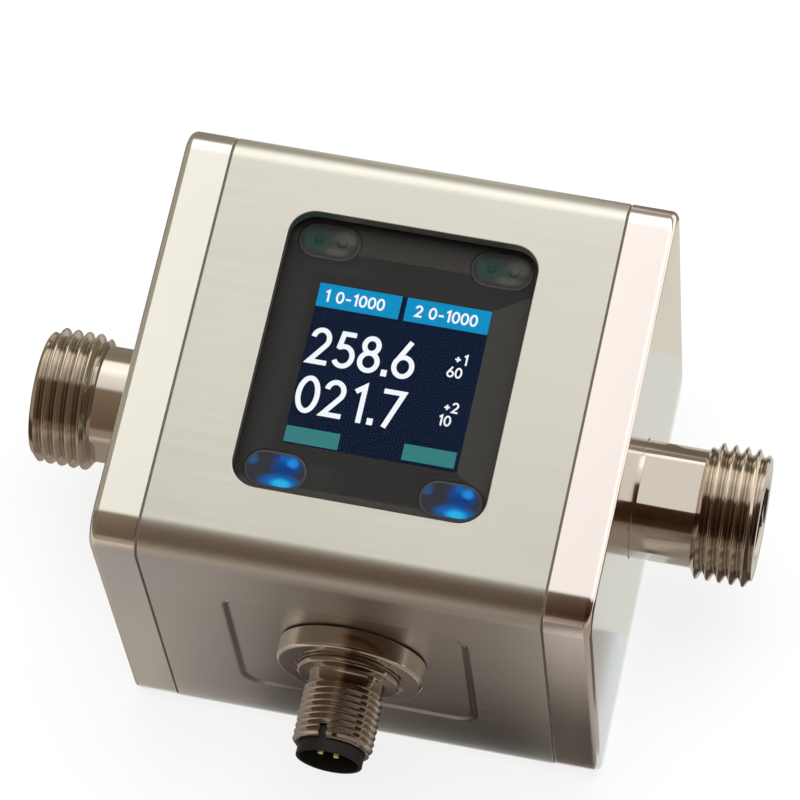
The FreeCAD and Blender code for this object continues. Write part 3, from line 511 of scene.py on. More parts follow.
def close_stack(bm, rings):
    """Faces between rings of points, and over the last and under the first of them."""
    for low, high in zip(rings, rings[1:]):
        for j in range(len(low)):
            k = (j + 1) % len(low)
            bm.faces.new((low[j], low[k], high[k], high[j]))
    bm.faces.new(rings[-1])
    bm.faces.new(rings[0][::-1])


# Housing

SEAL_LOW, SEAL_HIGH = node_box("plug_seal")
POCKET_FLOOR = SEAL_HIGH.y
POCKET_REACH, POCKET_SLACK = 20, 0.05
# Slopes of the pocket's wall against the housing's lower face
POCKET_FLATTEST, POCKET_STEEPEST = 8, 40
SHELL_EASE, POCKET_EASE, CAP_EASE, FLANGE_EASE, INSERT_EASE = 0.15, 0.25, 0.12, 0.15, 0.12


def in_pocket(spot):
    """Whether a point in metres is on the pocket round the plug."""
    x, y, z = spot / MM
    return y <= POCKET_FLOOR + POCKET_SLACK and max(abs(x), abs(z)) <= POCKET_REACH


def pocket_edge(edge):
    """Whether an edge is on the sloping wall of the pocket."""
    if not all(in_pocket(vert.co) for vert in edge.verts):
        return False
    return edge.calc_face_angle() < math.radians(POCKET_STEEPEST)


def pocket_wall(face):
    """Whether a face is on the sloping wall of the pocket."""
    steepest, flattest = (math.cos(math.radians(slope)) for slope in (POCKET_STEEPEST, POCKET_FLATTEST))
    return in_pocket(face.calc_center_median()) and steepest < -face.normal.y < flattest


def shell():
    look = LOOKS["shell_steel"]
    piece = eased_node("centre_shell", SHELL_EASE, look, pocket_edge, POCKET_EASE)
    piece.data.materials.append(POCKET_LOOK)
    bm = bmesh.new()
    bm.from_mesh(piece.data)
    for face in bm.faces:
        if pocket_wall(face):
            face.material_index = 1
    bm.to_mesh(piece.data)
    bm.free()


shell()
eased_node("inlet_end_cap", CAP_EASE, LOOKS["cap_steel"])
# The outlet cap takes the lit copy of the cap steel, with painted light
eased_node("outlet_end_cap", CAP_EASE, OUTLET_CAP_LIT_LOOK)
eased_node("plug_flange", FLANGE_EASE, FLANGE_LOOK)
eased_node("plug_insert", INSERT_EASE, LOOKS["black_plastic"])


# Pipe fittings with their G 1/2 threads

PIPE_PITCH, PIPE_DEPTH, PIPE_ROUND, PIPE_HALF_ANGLE = 1.814, 1.162, 0.249, 27.5
FITTING_LOW, FITTING_HIGH = node_box("outlet_fitting")
CAP_HIGH, NECK_SEAL_HIGH = node_box("outlet_end_cap")[1], node_box("outlet_neck_seal")[1]
# Radii of the bore, the spigot in the cap, the neck and the thread, and half the width over the flats
BORE, SPIGOT, NECK, CREST, FLAT = 6.0, 7.4, NECK_SEAL_HIGH.y, FITTING_HIGH.y, 8.0
NECK_COLLAR, THREAD_LENGTH, RUNOUT, END_CHAMFER, BORE_CHAMFER = 0.4, 8.5, 0.9, 1.1, 0.5
FITTING_START, FITTING_END = FITTING_LOW.x, FITTING_HIGH.x
SHOULDER, FLATS_START = NECK_SEAL_HIGH.x, CAP_HIGH.x + NECK_COLLAR
RUNOUT_END, CHAMFER_START = FITTING_END - THREAD_LENGTH, FITTING_END - END_CHAMFER
RUNOUT_START = RUNOUT_END - RUNOUT
PIPE_STEPS, FITTING_SHARP, FITTING_EASE, THREAD_SMOOTH = 144, 20, 0.12, 42


def pipe_envelope(x):
    """The largest radius of the threaded end at x."""
    if x < RUNOUT_END:
        return NECK + (CREST - NECK) * (x - RUNOUT_START) / (RUNOUT_END - RUNOUT_START)
    return CREST - max(0.0, x - CHAMFER_START)


def flat_radius(angle):
    """The radius of the neck where its two wrench flats are."""
    return min(NECK, FLAT / max(TINY, abs(math.sin(angle))))


def fitting(name, node, turn):
    edge = math.asin(FLAT / NECK)
    corners = [edge, math.pi - edge, math.pi + edge, TURN - edge]
    profile = thread_profile(PIPE_PITCH, PIPE_DEPTH, PIPE_HALF_ANGLE, PIPE_ROUND)
    thread = {
        "start": RUNOUT_START, "end": FITTING_END, "crest": CREST, "pitch": PIPE_PITCH,
        "profile": profile, "envelope": pipe_envelope,
    }
    rings = [
        (FITTING_START, BORE), (FITTING_START, SPIGOT), (SHOULDER, SPIGOT), (SHOULDER, NECK),
        (FLATS_START, NECK), (FLATS_START, flat_radius), (RUNOUT_START, flat_radius), None,
        (FITTING_END, BORE + BORE_CHAMFER), (FITTING_END - BORE_CHAMFER, BORE),
    ]
    bm = turned_mesh(even_angles(PIPE_STEPS, corners), rings, thread)
    inner, outer = RUNOUT_START - NUDGE, FITTING_END - NUDGE

    def plain(found):
        """Whether an edge lies before the thread or on the end face."""
        ends = [vert.co.x for vert in found.verts]
        return max(ends) < inner * MM or min(ends) > outer * MM

    ease_edges(bm, sharp_edges(bm, FITTING_SHARP, plain), FITTING_EASE)
    mark_thread(bm, inner, BORE + BORE_CHAMFER)
    piece = add_piece(name, bm, LOOKS["fitting_steel"], [node], THREAD_SMOOTH, turn)
    piece.data.materials.append(PIPE_LOOK)


fitting("outlet_threaded_fitting", "outlet_fitting", Matrix.Identity(4))
half_turn, quarter_turn = Matrix.Rotation(math.pi, 4, "Z"), Matrix.Rotation(math.pi / 2, 4, "X")
fitting("inlet_threaded_fitting", "inlet_fitting", half_turn @ quarter_turn)


# Plug barrel with its M12 thread, turned about X and then pointed down

PLUG_PITCH, PLUG_DEPTH, PLUG_ROUND, PLUG_HALF_ANGLE = 1.0, 0.613, 0.1, 30
PLUG_SEAT = Vector(((SEAL_LOW.x + SEAL_HIGH.x) / 2, POCKET_FLOOR, (SEAL_LOW.z + SEAL_HIGH.z) / 2)) * MM
PLUG_DOWN = Matrix(((0, 1, 0), (-1, 0, 0), (0, 0, 1))).to_4x4()
KEY_ANGLE = 11
PLUG_MATRIX = Matrix.Translation(PLUG_SEAT) @ PLUG_DOWN @ Matrix.Rotation(math.radians(KEY_ANGLE), 4, "X")
SHELL_LOW, SHELL_HIGH = node_box("plug_shell")
# Radii from the inside out
BARREL_BORE, SHANK, BARREL, STEM, COLLAR = 5.1, 5.6, 6.0, 6.5, 7.7
BARREL_LENGTH, BARREL_CHAMFER, SHANK_LENGTH, COLLAR_LENGTH = 9.0, 0.5, 2.0, 1.5
STEM_START, BARREL_END = POCKET_FLOOR - SHELL_HIGH.y, POCKET_FLOOR - SHELL_LOW.y
BARREL_START = BARREL_END - BARREL_LENGTH
COLLAR_END = BARREL_START - SHANK_LENGTH
COLLAR_START = COLLAR_END - COLLAR_LENGTH
NOTCH_HALF, NOTCH_DEPTH, NOTCH_OVERCUT = 0.6, 2.0, 1
BARREL_STEPS, COLLAR_EASE, BARREL_EASE, BORE_MARGIN = 120, 0.45, 0.2, 0.1


def barrel_envelope(x):
    """The largest radius of the threaded barrel at x."""
    start = SHANK + (x - BARREL_START) * (BARREL - SHANK) / BARREL_CHAMFER
    end = BARREL + BARREL_END - BARREL_CHAMFER - x
    return min(start, BARREL, end)


def plug_barrel():
    profile = thread_profile(PLUG_PITCH, PLUG_DEPTH, PLUG_HALF_ANGLE, PLUG_ROUND)
    thread = {
        "start": BARREL_START, "end": BARREL_END, "crest": BARREL, "pitch": PLUG_PITCH,
        "profile": profile, "envelope": barrel_envelope,
    }
    rings = [
        (STEM_START, BARREL_BORE), (STEM_START, STEM), (COLLAR_START, STEM), (COLLAR_START, COLLAR),
        (COLLAR_END, COLLAR), (COLLAR_END, SHANK), None, (BARREL_END, BARREL_BORE),
    ]
    bm = turned_mesh(even_angles(BARREL_STEPS), rings, thread)
    inner, rim = BARREL_START - NUDGE, COLLAR - NUDGE

    def plain(found):
        """Whether an edge lies before the thread."""
        return max(vert.co.x for vert in found.verts) < inner * MM

    def collar_rim(found):
        return plain(found) and all(math.hypot(v.co.y, v.co.z) > rim * MM for v in found.verts)

    ease_edges(bm, sharp_edges(bm, SHARP_ANGLE, collar_rim), COLLAR_EASE, ROUND_SEGMENTS)
    ease_edges(bm, sharp_edges(bm, SHARP_ANGLE, plain), BARREL_EASE)
    mark_thread(bm, inner, BARREL_BORE + BORE_MARGIN)
    look, replaced = LOOKS["plug_metal"], ["plug_shell"]
    piece = add_piece("plug_threaded_barrel", bm, look, replaced, THREAD_SMOOTH, PLUG_MATRIX)
    piece.data.materials.append(BARREL_LOOK)
    cut_notch(piece)


def cut_notch(piece):
    """The key notch through the barrel's end, on the display's side."""
    bm = bmesh.new()
    start, end = BARREL_END - NOTCH_DEPTH, BARREL_END + NOTCH_OVERCUT
    slab(bm, start, -NOTCH_HALF, end, NOTCH_HALF, SHANK / 2, COLLAR)
    bmesh.ops.recalc_face_normals(bm, faces=bm.faces)
    cutter = add_object("notch", finished(bm, "notch"))
    cutter.matrix_world = PLUG_MATRIX
    cut = piece.modifiers.new("notch", "BOOLEAN")
    cut.operation = "DIFFERENCE"
    cut.object = cutter
    cut.solver = "EXACT"
    shape = piece.evaluated_get(bpy.context.evaluated_depsgraph_get())
    made = bpy.data.meshes.new_from_object(shape)
    piece.modifiers.remove(cut)
    piece.data = made
    made.set_sharp_from_angle(angle=math.radians(THREAD_SMOOTH))
    bpy.data.objects.remove(cutter)


plug_barrel()


# Display picture: a bonded screen with two readings, header bars and soft keys

PANEL_LOW, PANEL_HIGH = node_box("display_panel")
PICTURE_MIDDLE = (PANEL_LOW.y + PANEL_HIGH.y) / 2
SCREEN_HALF, GLASS_GAP, LAYER = 12.95, 0.1, 0.02
SCREEN_LOW, SCREEN_TOP = PANEL_HIGH.z, node_box("window_glass")[0].z - GLASS_GAP
# Coloured fields as (left, low, right, top)
HEADER_BARS = ((-12.95, 9.6, -0.55, 13.35), (0.25, 9.6, 12.9, 13.35))
SOFT_KEYS = ((-12.9, -12.3, -4.85, -9.75), (4.6, -12.0, 12.4, -9.45))
# Numbers as (text, left, base line, height, width against the usual)
READINGS = (("258.6", -12.5, 0.35, 6.05, 0.885), ("021.7", -12.7, -7.55, 6.15, 0.915))
SMALL_NUMBERS = (
    ("1 0-1000", -12.0, 10.5, 1.9, 1), ("2 0-1000", 1.7, 10.5, 1.9, 1),
    ("+1", 9.0, 4.2, 1.7, 1), ("60", 8.3, 2.0, 1.7, 1),
    ("+2", 9.0, -3.5, 1.7, 1), ("10", 8.5, -5.7, 1.7, 1),
)
READING_WEIGHT, SMALL_WEIGHT, DOT_WEIGHT = 0.84, 1.05, 1.15
HALF_STROKE, NARROWEST_CORNER, NUMBER_SMOOTH = 0.075, 0.45, 20


def arc_points(centre, radii, start, end, count):
    """Points of a part of an ellipse, as (x, y)."""
    turns = np.radians(np.linspace(start, end, count))
    return [(centre[0] + radii[0] * math.cos(t), centre[1] + radii[1] * math.sin(t)) for t in turns]


def oval(centre, radii, count):
    return arc_points(centre, radii, 90, 450, count)


# Stroke centre lines in a box one unit high, with the half stroke width inside the box
GLYPHS = {
    "0": [oval((0.31, 0.5), (0.245, 0.425), 40)],
    "1": [[(0.13, 0.78), (0.35, 0.94), (0.35, 0.0)]],
    "2": [arc_points((0.30, 0.69), (0.22, 0.235), 172, -38, 22) + [(0.09, 0.075), (0.58, 0.075)]],
    "5": [
        [(0.54, 0.925), (0.20, 0.925), (0.14, 0.57)]
        + arc_points((0.29, 0.335), (0.25, 0.26), 120, -150, 24)
    ],
    "6": [[(0.42, 1.0), (0.13, 0.49)], oval((0.31, 0.325), (0.245, 0.25), 36)],
    "7": [[(0.03, 0.925), (0.56, 0.925), (0.20, 0.0)]],
    "8": [oval((0.31, 0.73), (0.195, 0.195), 30), oval((0.31, 0.305), (0.24, 0.23), 34)],
    "+": [[(0.06, 0.45), (0.54, 0.45)], [(0.30, 0.21), (0.30, 0.69)]],
    "-": [[(0.08, 0.42), (0.48, 0.42)]],
    ".": [[(0.09, 0.0), (0.09, 0.17)]],
}
# Steps to the next sign, against the height
ADVANCE, USUAL_ADVANCE = {".": 0.26, "1": 0.56, "-": 0.56, " ": 0.40}, 0.70


def stroke(bm, points, half, z0, z1):
    """A flat ribbon of even width along a line, closed where the line closes."""
    closed = math.dist(points[0], points[-1]) < TINY
    line = [Vector(p) for p in (points[:-1] if closed else points)]
    count = len(line)
    sides = []
    for k, here in enumerate(line):
        before = line[k - 1] if closed or k else None
        after = line[(k + 1) % count] if closed or k + 1 < count else None
        ways = []
        if before is not None:
            ways.append((here - before).normalized())
        if after is not None:
            ways.append((after - here).normalized())
        normal = sum((Vector((-w.y, w.x)) for w in ways), Vector((0, 0))).normalized()
        reach = half / max(NARROWEST_CORNER, normal.dot(Vector((-ways[0].y, ways[0].x))))
        ring = []
        for side, z in ((1, z1), (-1, z1), (-1, z0), (1, z0)):
            spot = here + normal * reach * side
            ring.append(bm.verts.new((spot.x * MM, spot.y * MM, z * MM)))
        sides.append(ring)
    for k in range(count if closed else count - 1):
        first, second = sides[k], sides[(k + 1) % count]
        for j in range(4):
            bm.faces.new((first[j], first[(j + 1) % 4], second[(j + 1) % 4], second[j]))
    if not closed:
        bm.faces.new(sides[0])
        bm.faces.new(sides[-1])


def write(bm, text, x, y, height, width, z, weight):
    """Numbers as strokes, from x to the right, with y as the base line."""
    half = HALF_STROKE * height * weight
    for sign in text:
        for line in GLYPHS.get(sign, []):
            spots = [(x + px * height * width, y + py * height) for px, py in line]
            thick = half * DOT_WEIGHT if sign == "." else half
            stroke(bm, spots, thick, z, z + LAYER)
        x += ADVANCE.get(sign, USUAL_ADVANCE) * height * width


def fields(name, places, low, top, look):
    bm = bmesh.new()
    for left, bottom, right, upper in places:
        slab(bm, left, bottom, right, upper, low, top)
    add_piece(name, bm, PICTURE_LOOKS[look])


def numbers(name, rows, z, weight):
    bm = bmesh.new()
    for text, x, y, height, width in rows:
        write(bm, text, x, y, height, width, z, weight)
    add_piece(name, bm, PICTURE_LOOKS["white"], smooth=NUMBER_SMOOTH)


def picture():
    first, second = SCREEN_TOP, SCREEN_TOP + LAYER
    low, top = PICTURE_MIDDLE - SCREEN_HALF, PICTURE_MIDDLE + SCREEN_HALF
    fields("display_screen", [(-SCREEN_HALF, low, SCREEN_HALF, top)], SCREEN_LOW, first, "night")
    fields("display_header_bars", HEADER_BARS, first, second, "blue")
    fields("display_soft_keys", SOFT_KEYS, first, second, "teal")
    numbers("display_readings", READINGS, first, READING_WEIGHT)
    numbers("display_small_numbers", SMALL_NUMBERS, second, SMALL_WEIGHT)


picture()


# Optical keys: a rimmed oval lens with a dished face and two light domes under the glass

LENS_LOW, LENS_HIGH = node_box("key_lens_upper_left")
# Half the oval's straight length, and the radius of its ends
LENS_STRAIGHT, LENS_ROUND = 1.8, (LENS_HIGH.y - LENS_LOW.y) / 2
# Rings of the lens as (inset from its edge, height over its underside), from below to the dish
LENS_RINGS = [(0.0, 0.0), (0.0, 0.90), (0.06, 0.97), (0.40, 0.97), (0.60, 0.62), (1.0, 0.45), (1.9, 0.38)]
RIM_HEIGHT, DISH_HEIGHT = LENS_RINGS[1][1], LENS_RINGS[-1][1]
# Domes as (x, y, radius) from the lens's middle, and the angles at which their rings rise
DOMES = ((1.75, 0.35, 0.85), (-1.75, 0.35, 0.7))
DOME_RISES, DOME_HEIGHT, DOME_POINTS, OVAL_POINTS = (0, 25, 50, 72), 0.5, 24, 14
# Soft patches of tone as (middle, radii, colour) from the lens's middle
LIT_PATCHES = (
    ((-3.85, 1.35), (1.25, 1.15), (0.018, 0.080, 0.20)), ((1.55, 1.40), (2.6, 2.0), (0.001, 0.066, 0.31)),
    ((1.25, 0.40), (2.5, 1.2), (0.002, 0.040, 0.20)), ((0.95, 2.15), (0.9, 0.6), (0.003, 0.105, 0.38)),
    ((2.20, 1.60), (1.1, 0.95), (0.014, 0.24, 0.66)), ((1.00, -1.63), (3.8, 1.55), (0.001, 0.118, 0.47)),
    ((1.15, -1.85), (1.9, 1.05), (0.016, 0.43, 0.78)),
)
DARK_PATCHES = (
    ((-4.05, 1.4), (1.7, 1.1), (0.078, 0.080, 0.078)), ((-1.95, 0.3), (2.8, 2.1), (0.018, 0.060, 0.042)),
    ((2.5, 1.2), (2.5, 1.5), (0.108, 0.108, 0.100)), ((1.15, -1.25), (2.3, 0.85), (0.090, 0.096, 0.082)),
)
# Where a patch has faded out and where it is full, against its radii
PATCH_EDGE, PATCH_CORE = 1.1, 0.35
LENS_GRAIN, LENS_DRIFT, LENS_SMOOTH = 1500, 0.1, 50
DARK_GROUND, LIT_GROUND = (0.050, 0.048, 0.045), (0.030, 0.029, 0.035)


def lens_look(name, colour, patches, lit, gloss):
    """A lens with soft patches of tone, which give light where the key is lit."""
    shader = Shader(name, Roughness=0.35, Specular_IOR_Level=gloss)
    where = shader.where("Object")
    tone = shader.varied(shader.noise(LENS_GRAIN), colour, LENS_DRIFT)
    for middle, radii, patch in patches:
        shift = shader.maths(VECTORS, "SUBTRACT", where, (middle[0] * MM, middle[1] * MM, 0))
        shrink = shader.maths(VECTORS, "DIVIDE", shift, (radii[0] * MM, radii[1] * MM, 1))
        reach = shader.length(shrink)
        fade = shader.spread(reach, 0, 1, PATCH_EDGE, PATCH_CORE, interpolation_type="SMOOTHSTEP")
        tone = shader.mix(fade, tone, (*patch, 1))
    if lit:
        shader.set("Base Color", (0.001, 0.002, 0.004, 1))
        shader.into("Emission Color", tone)
        shader.set("Emission Strength", PICTURE_GAIN)
    else:
        shader.into("Base Color", tone)
    return shader.material


def oval_loop(bm, inset, z):
    """A ring of points round an oval, inset from the lens edge."""
    loop = []
    radius = LENS_ROUND - inset
    for middle, start in ((LENS_STRAIGHT, -90), (-LENS_STRAIGHT, 90)):
        for turn in np.radians(np.linspace(start, start + 180, OVAL_POINTS)):
            spot = (middle + radius * math.cos(turn), radius * math.sin(turn), z)
            loop.append(bm.verts.new(Vector(spot) * MM))
    return loop


def dome(bm, x, y, radius, base):
    """A low round cap on the dish, closed underneath."""
    rings = []
    for rise in np.radians(DOME_RISES):
        side, top = radius * math.cos(rise), base + DOME_HEIGHT * radius * math.sin(rise)
        ring = []
        for turn in np.linspace(0, TURN, DOME_POINTS, endpoint=False):
            spot = (x + side * math.cos(turn), y + side * math.sin(turn), top)
            ring.append(bm.verts.new(Vector(spot) * MM))
        rings.append(ring)
    close_stack(bm, rings)


def key_lens(place, look):
    node = f"key_lens_{place}"
    bm = bmesh.new()
    close_stack(bm, [oval_loop(bm, inset, z) for inset, z in LENS_RINGS])
    for x, y, radius in DOMES:
        dome(bm, x, y, radius, DISH_HEIGHT)
    rim = (RIM_HEIGHT - NUDGE) * MM
    for face in bm.faces:
        if min(vert.co.z for vert in face.verts) > rim:
            face.material_index = 1
    low, high = node_box(node)
    seat = Vector(((low.x + high.x) / 2, (low.y + high.y) / 2, low.z))
    matrix = Matrix.Translation(seat * MM)
    piece = add_piece(f"key_window_{place}", bm, look, [node], LENS_SMOOTH, matrix)
    piece.data.materials.append(RIM_LOOK)


for place in ("upper_left", "upper_right"):
    look = lens_look(f"lens_{place}", DARK_GROUND, DARK_PATCHES, lit=False, gloss=0.2)
    key_lens(place, look)
for place in ("lower_left", "lower_right"):
    look = lens_look(f"lens_{place}", LIT_GROUND, LIT_PATCHES, lit=True, gloss=0.0)
    key_lens(place, look)


# Floor, light and camera, in metres

FLOOR_REACH, FLOOR_LIFT = 6.0, 0.8
PAPER_TONE, PAPER_ROUGH = (0.9, 0.9, 0.9, 1), 0.9


def seen_directly(tree):
    """One for rays that come from the camera, or from it by way of gloss or glass."""
    path = tree.nodes.new("ShaderNodeLightPath")
    first, second = (tree.nodes.new("ShaderNodeMath") for _ in range(2))
    first.operation = second.operation = "MAXIMUM"
    tree.links.new(path.outputs["Is Camera Ray"], first.inputs[0])
    tree.links.new(path.outputs["Is Glossy Ray"], first.inputs[1])
    tree.links.new(first.outputs[0], second.inputs[0])
    tree.links.new(path.outputs["Is Transmission Ray"], second.inputs[1])
    return second.outputs[0]


def floor():
    """White paper that keeps the meter's shadow, lifted toward white where it is seen."""
    mesh = bpy.data.meshes.new("floor")
    ends = ((-1, -1), (1, -1), (1, 1), (-1, 1))
    corners = [(x * FLOOR_REACH, y * FLOOR_REACH, FLOOR_LEVEL) for x, y in ends]
    mesh.from_pydata(corners, [], [(0, 1, 2, 3)])
    shader = Shader("floor_paper", Base_Color=PAPER_TONE, Roughness=PAPER_ROUGH, Specular_IOR_Level=0.0)
    white = shader.node("ShaderNodeEmission")
    share = shader.maths(NUMBERS, "MULTIPLY", seen_directly(shader.tree), FLOOR_LIFT)
    mix = shader.node("ShaderNodeMixShader")
    shader.link(share, mix.inputs["Fac"])
    shader.link(shader.bsdf.outputs[0], mix.inputs[1])
    shader.link(white.outputs[0], mix.inputs[2])
    shader.link(mix.outputs[0], shader.tree.nodes["Material Output"].inputs["Surface"])
    mesh.materials.append(shader.material)
    piece = add_object("floor", mesh)


# Tones of the tent, painted reflections, by the share of its half turn, from the floor in front over to the
# back
TENT_FOOT = (0.00, (0.40, 0.345, 0.30))
TENT_REAR = [
    (0.76, (1.75, 1.73, 1.68)), (0.87, (1.60, 1.56, 1.48)),
    (0.91, (0.33, 0.29, 0.235)), (1.00, (0.30, 0.26, 0.21)),
]
TENT_LEFT = [
    TENT_FOOT, (0.08, (0.38, 0.32, 0.26)), (0.115, (0.20, 0.135, 0.09)),
    (0.20, (0.21, 0.145, 0.095)), (0.36, (0.25, 0.18, 0.13)), (0.525, (0.30, 0.23, 0.17)),
    (0.56, (1.00, 0.985, 0.95)), (0.68, (1.26, 1.245, 1.21)), *TENT_REAR,
]
TENT_RIGHT = [
    TENT_FOOT, (0.08, (0.30, 0.24, 0.18)), (0.115, (0.055, 0.025, 0.012)),
    (0.20, (0.030, 0.010, 0.004)), (0.36, (0.050, 0.024, 0.014)), (0.525, (0.10, 0.062, 0.043)),
    (0.56, (0.90, 0.88, 0.845)), (0.68, (1.15, 1.13, 1.09)), *TENT_REAR,
]
TENT_RADIUS, TENT_PANELS = 1.2, 72
TENT_START, TENT_END = -0.6, 2.4
# Between these places along X the left tones shade into the right ones
LEFT_SIDE, RIGHT_SIDE = -0.29, -0.05


def add_prop(name, mesh, shader):
    """A glowing sheet that paints reflections: hidden from the camera, it gives no diffuse light and casts
    no shadow, so it only shows in gloss and glass.
    """
    shader.only_glow(1.0)
    mesh.materials.append(shader.material)
    piece = add_object(name, mesh)
    piece.visible_camera = False
    piece.visible_diffuse = False
    piece.visible_shadow = False


def tent():
    """A glowing tunnel round the meter that paints its reflections: dark on the camera's side, bright
    behind and above.
    """
    bm = bmesh.new()
    rows = []
    for k in range(TENT_PANELS + 1):
        turn = math.pi * k / TENT_PANELS
        y, z = -TENT_RADIUS * math.cos(turn), TENT_RADIUS * math.sin(turn)
        rows.append([bm.verts.new((x, y, z + FLOOR_LEVEL)) for x in (TENT_START, TENT_END)])
    for first, second in zip(rows, rows[1:]):
        bm.faces.new((first[0], first[1], second[1], second[0]))
    shader = Shader("tent_painted_reflections", Roughness=1.0)
    along, across, up = shader.axes("Object")
    height = shader.maths(NUMBERS, "SUBTRACT", up, FLOOR_LEVEL)
    forward = shader.maths(NUMBERS, "MULTIPLY", across, -1.0)
    angle = shader.maths(NUMBERS, "ARCTAN2", height, forward)
    share = shader.maths(NUMBERS, "DIVIDE", angle, math.pi)
    side = shader.spread(along, 0, 1, LEFT_SIDE, RIGHT_SIDE)
    tone = shader.mix(side, shader.ramp(share, TENT_LEFT), shader.ramp(share, TENT_RIGHT))
    shader.into("Emission Color", tone)
    add_prop("studio_tent", finished(bm, "studio_tent"), shader)


# Cards on the floor that paint its reflected light and shade, in millimetres: gaps to the housing, then the
# edges between them
SIDE_GAP, FRONT_GAP, CARD_LIFT, CARD_REACH = 0.3, 1.3, 1, 500
SIDE_FOOT, FRONT_FOOT = CAP_HIGH.x + SIDE_GAP, CAP_HIGH.y + FRONT_GAP
FAR_START, SHADE_START, SHADE_FULL = 130, 62, 0.8
NECK_STRIP, SIDE_STRIP, SIDE_LOW, SIDE_HIGH, SIDE_END = 40.2, 48, -10, 38, 62
END_STRIP, RIGHT_EDGE, STRIP_START, STRIP_END = 57, 85, -4, 45
EDGE_START, CARD_SPLIT = 27, -8
LEFT_NEAR, LEFT_FAR, LEFT_LIT = -85, -130, 20
# Standing cards that paint reflections, at the tent's ends and in front
TENT_BACK, LEFT_END, RIGHT_END = TENT_RADIUS / MM, TENT_START / MM, TENT_END / MM
LEFT_SPLIT, RIGHT_SPLIT = 100, 400
STAND_LEFT, STAND_RIGHT, STAND_PLACE, STAND_HEIGHT = -35, 110, -1100, 300
# Tones along X, painted reflections of the floor: the shade tones paint the meter's shadow by the housing,
# and a narrow dark stripe near x -12 paints a dark band on the pocket's wall
FAR_TONES = [
    (-130, (0.72, 0.60, 0.52)), (-80, (0.60, 0.51, 0.45)), (-55, (0.40, 0.34, 0.30)),
    (-22, (0.32, 0.27, 0.24)), (-15, (0.20, 0.165, 0.14)), (13, (0.22, 0.18, 0.155)),
    (24, (0.42, 0.37, 0.32)), (36, (0.50, 0.445, 0.385)), (39, (0.34, 0.285, 0.24)),
]
FRONT_TONES = [
    (-130, (0.66, 0.56, 0.50)), (-75, (0.48, 0.425, 0.39)), (-43, (0.36, 0.33, 0.33)),
    (-34, (0.40, 0.35, 0.345)), (-18, (0.25, 0.21, 0.185)), (-14.5, (0.10, 0.08, 0.07)),
    (-10, (0.10, 0.08, 0.07)), (-7, (0.25, 0.21, 0.19)), (16, (0.26, 0.215, 0.205)),
    (26, (0.53, 0.48, 0.43)), (36, (0.56, 0.50, 0.44)), (39, (0.34, 0.285, 0.24)),
]
SHADE_TONES = [
    (-36, (0.43, 0.40, 0.36)), (-25, (0.27, 0.235, 0.23)), (-18, (0.20, 0.17, 0.165)),
    (-14.5, (0.05, 0.04, 0.036)), (-9.5, (0.05, 0.04, 0.036)), (-6.5, (0.11, 0.09, 0.08)),
    (10, (0.05, 0.038, 0.032)), (21, (0.020, 0.014, 0.011)), (25, (0.03, 0.022, 0.018)),
    (29, (0.11, 0.098, 0.08)), (35, (0.065, 0.057, 0.045)), (39, (0.30, 0.27, 0.245)),
    (43, (0.36, 0.33, 0.30)),
]
BACK_TONES = [
    (-140, (0.27, 0.245, 0.20)), (-60, (0.30, 0.265, 0.21)), (-49, (0.25, 0.225, 0.185)),
    (-44, (0.62, 0.60, 0.54)), (6, (0.58, 0.56, 0.50)), (11, (0.22, 0.18, 0.15)), (32, (0.20, 0.16, 0.13)),
]
# Tones that cards share
LEFT_TONE, RIGHT_TONE, RIGHT_DARK = (0.38, 0.32, 0.27), (0.11, 0.085, 0.07), (0.06, 0.045, 0.035)
# Cards of one tone on the floor, painted reflections of its light and shade: left, near, right and far
# edge, and tone
PLAIN_REFLECTION_CARDS = (
    ("left_floor_reflection", LEFT_NEAR, -FRONT_FOOT, -SIDE_FOOT, FRONT_FOOT, LEFT_TONE),
    ("left_shade", LEFT_FAR, -FRONT_FOOT, LEFT_NEAR, LEFT_LIT, (0.07, 0.048, 0.033)),
    ("left_lit", LEFT_FAR, LEFT_LIT, LEFT_NEAR, FRONT_FOOT, (0.95, 0.90, 0.80)),
    ("left_far", -CARD_REACH, -FRONT_FOOT, LEFT_FAR, FRONT_FOOT, LEFT_TONE),
    ("side_near", SIDE_FOOT, -FRONT_FOOT, NECK_STRIP, SIDE_LOW, (0.68, 0.74, 0.735)),
    ("under_neck", NECK_STRIP, -FRONT_FOOT, SIDE_STRIP, SIDE_LOW, (0.42, 0.38, 0.35)),
    ("side_strip", SIDE_FOOT, SIDE_LOW, SIDE_STRIP, SIDE_HIGH, (0.675, 0.69, 0.635)),
    ("side_far", SIDE_FOOT, SIDE_HIGH, SIDE_STRIP, SIDE_END, (0.68, 0.655, 0.565)),
    ("right_back", SIDE_FOOT, SIDE_END, RIGHT_EDGE, TENT_BACK, (0.22, 0.17, 0.14)),
    ("right_floor_reflection", SIDE_STRIP, -FRONT_FOOT, END_STRIP, CARD_SPLIT, RIGHT_TONE),
    ("right_strip", SIDE_STRIP, CARD_SPLIT, END_STRIP, SIDE_END, (0.60, 0.555, 0.49)),
    ("end_front", END_STRIP, -FRONT_FOOT, RIGHT_EDGE, STRIP_START, RIGHT_TONE),
    ("end_strip", END_STRIP, STRIP_START, RIGHT_EDGE, STRIP_END, (0.72, 0.70, 0.67)),
    ("end_back", END_STRIP, STRIP_END, RIGHT_EDGE, SIDE_END, RIGHT_TONE),
    ("right_front", RIGHT_EDGE, -FRONT_FOOT, CARD_REACH, EDGE_START, RIGHT_DARK),
    ("right_edge", RIGHT_EDGE, EDGE_START, CARD_REACH, TENT_BACK, (1.15, 1.07, 0.95)),
)
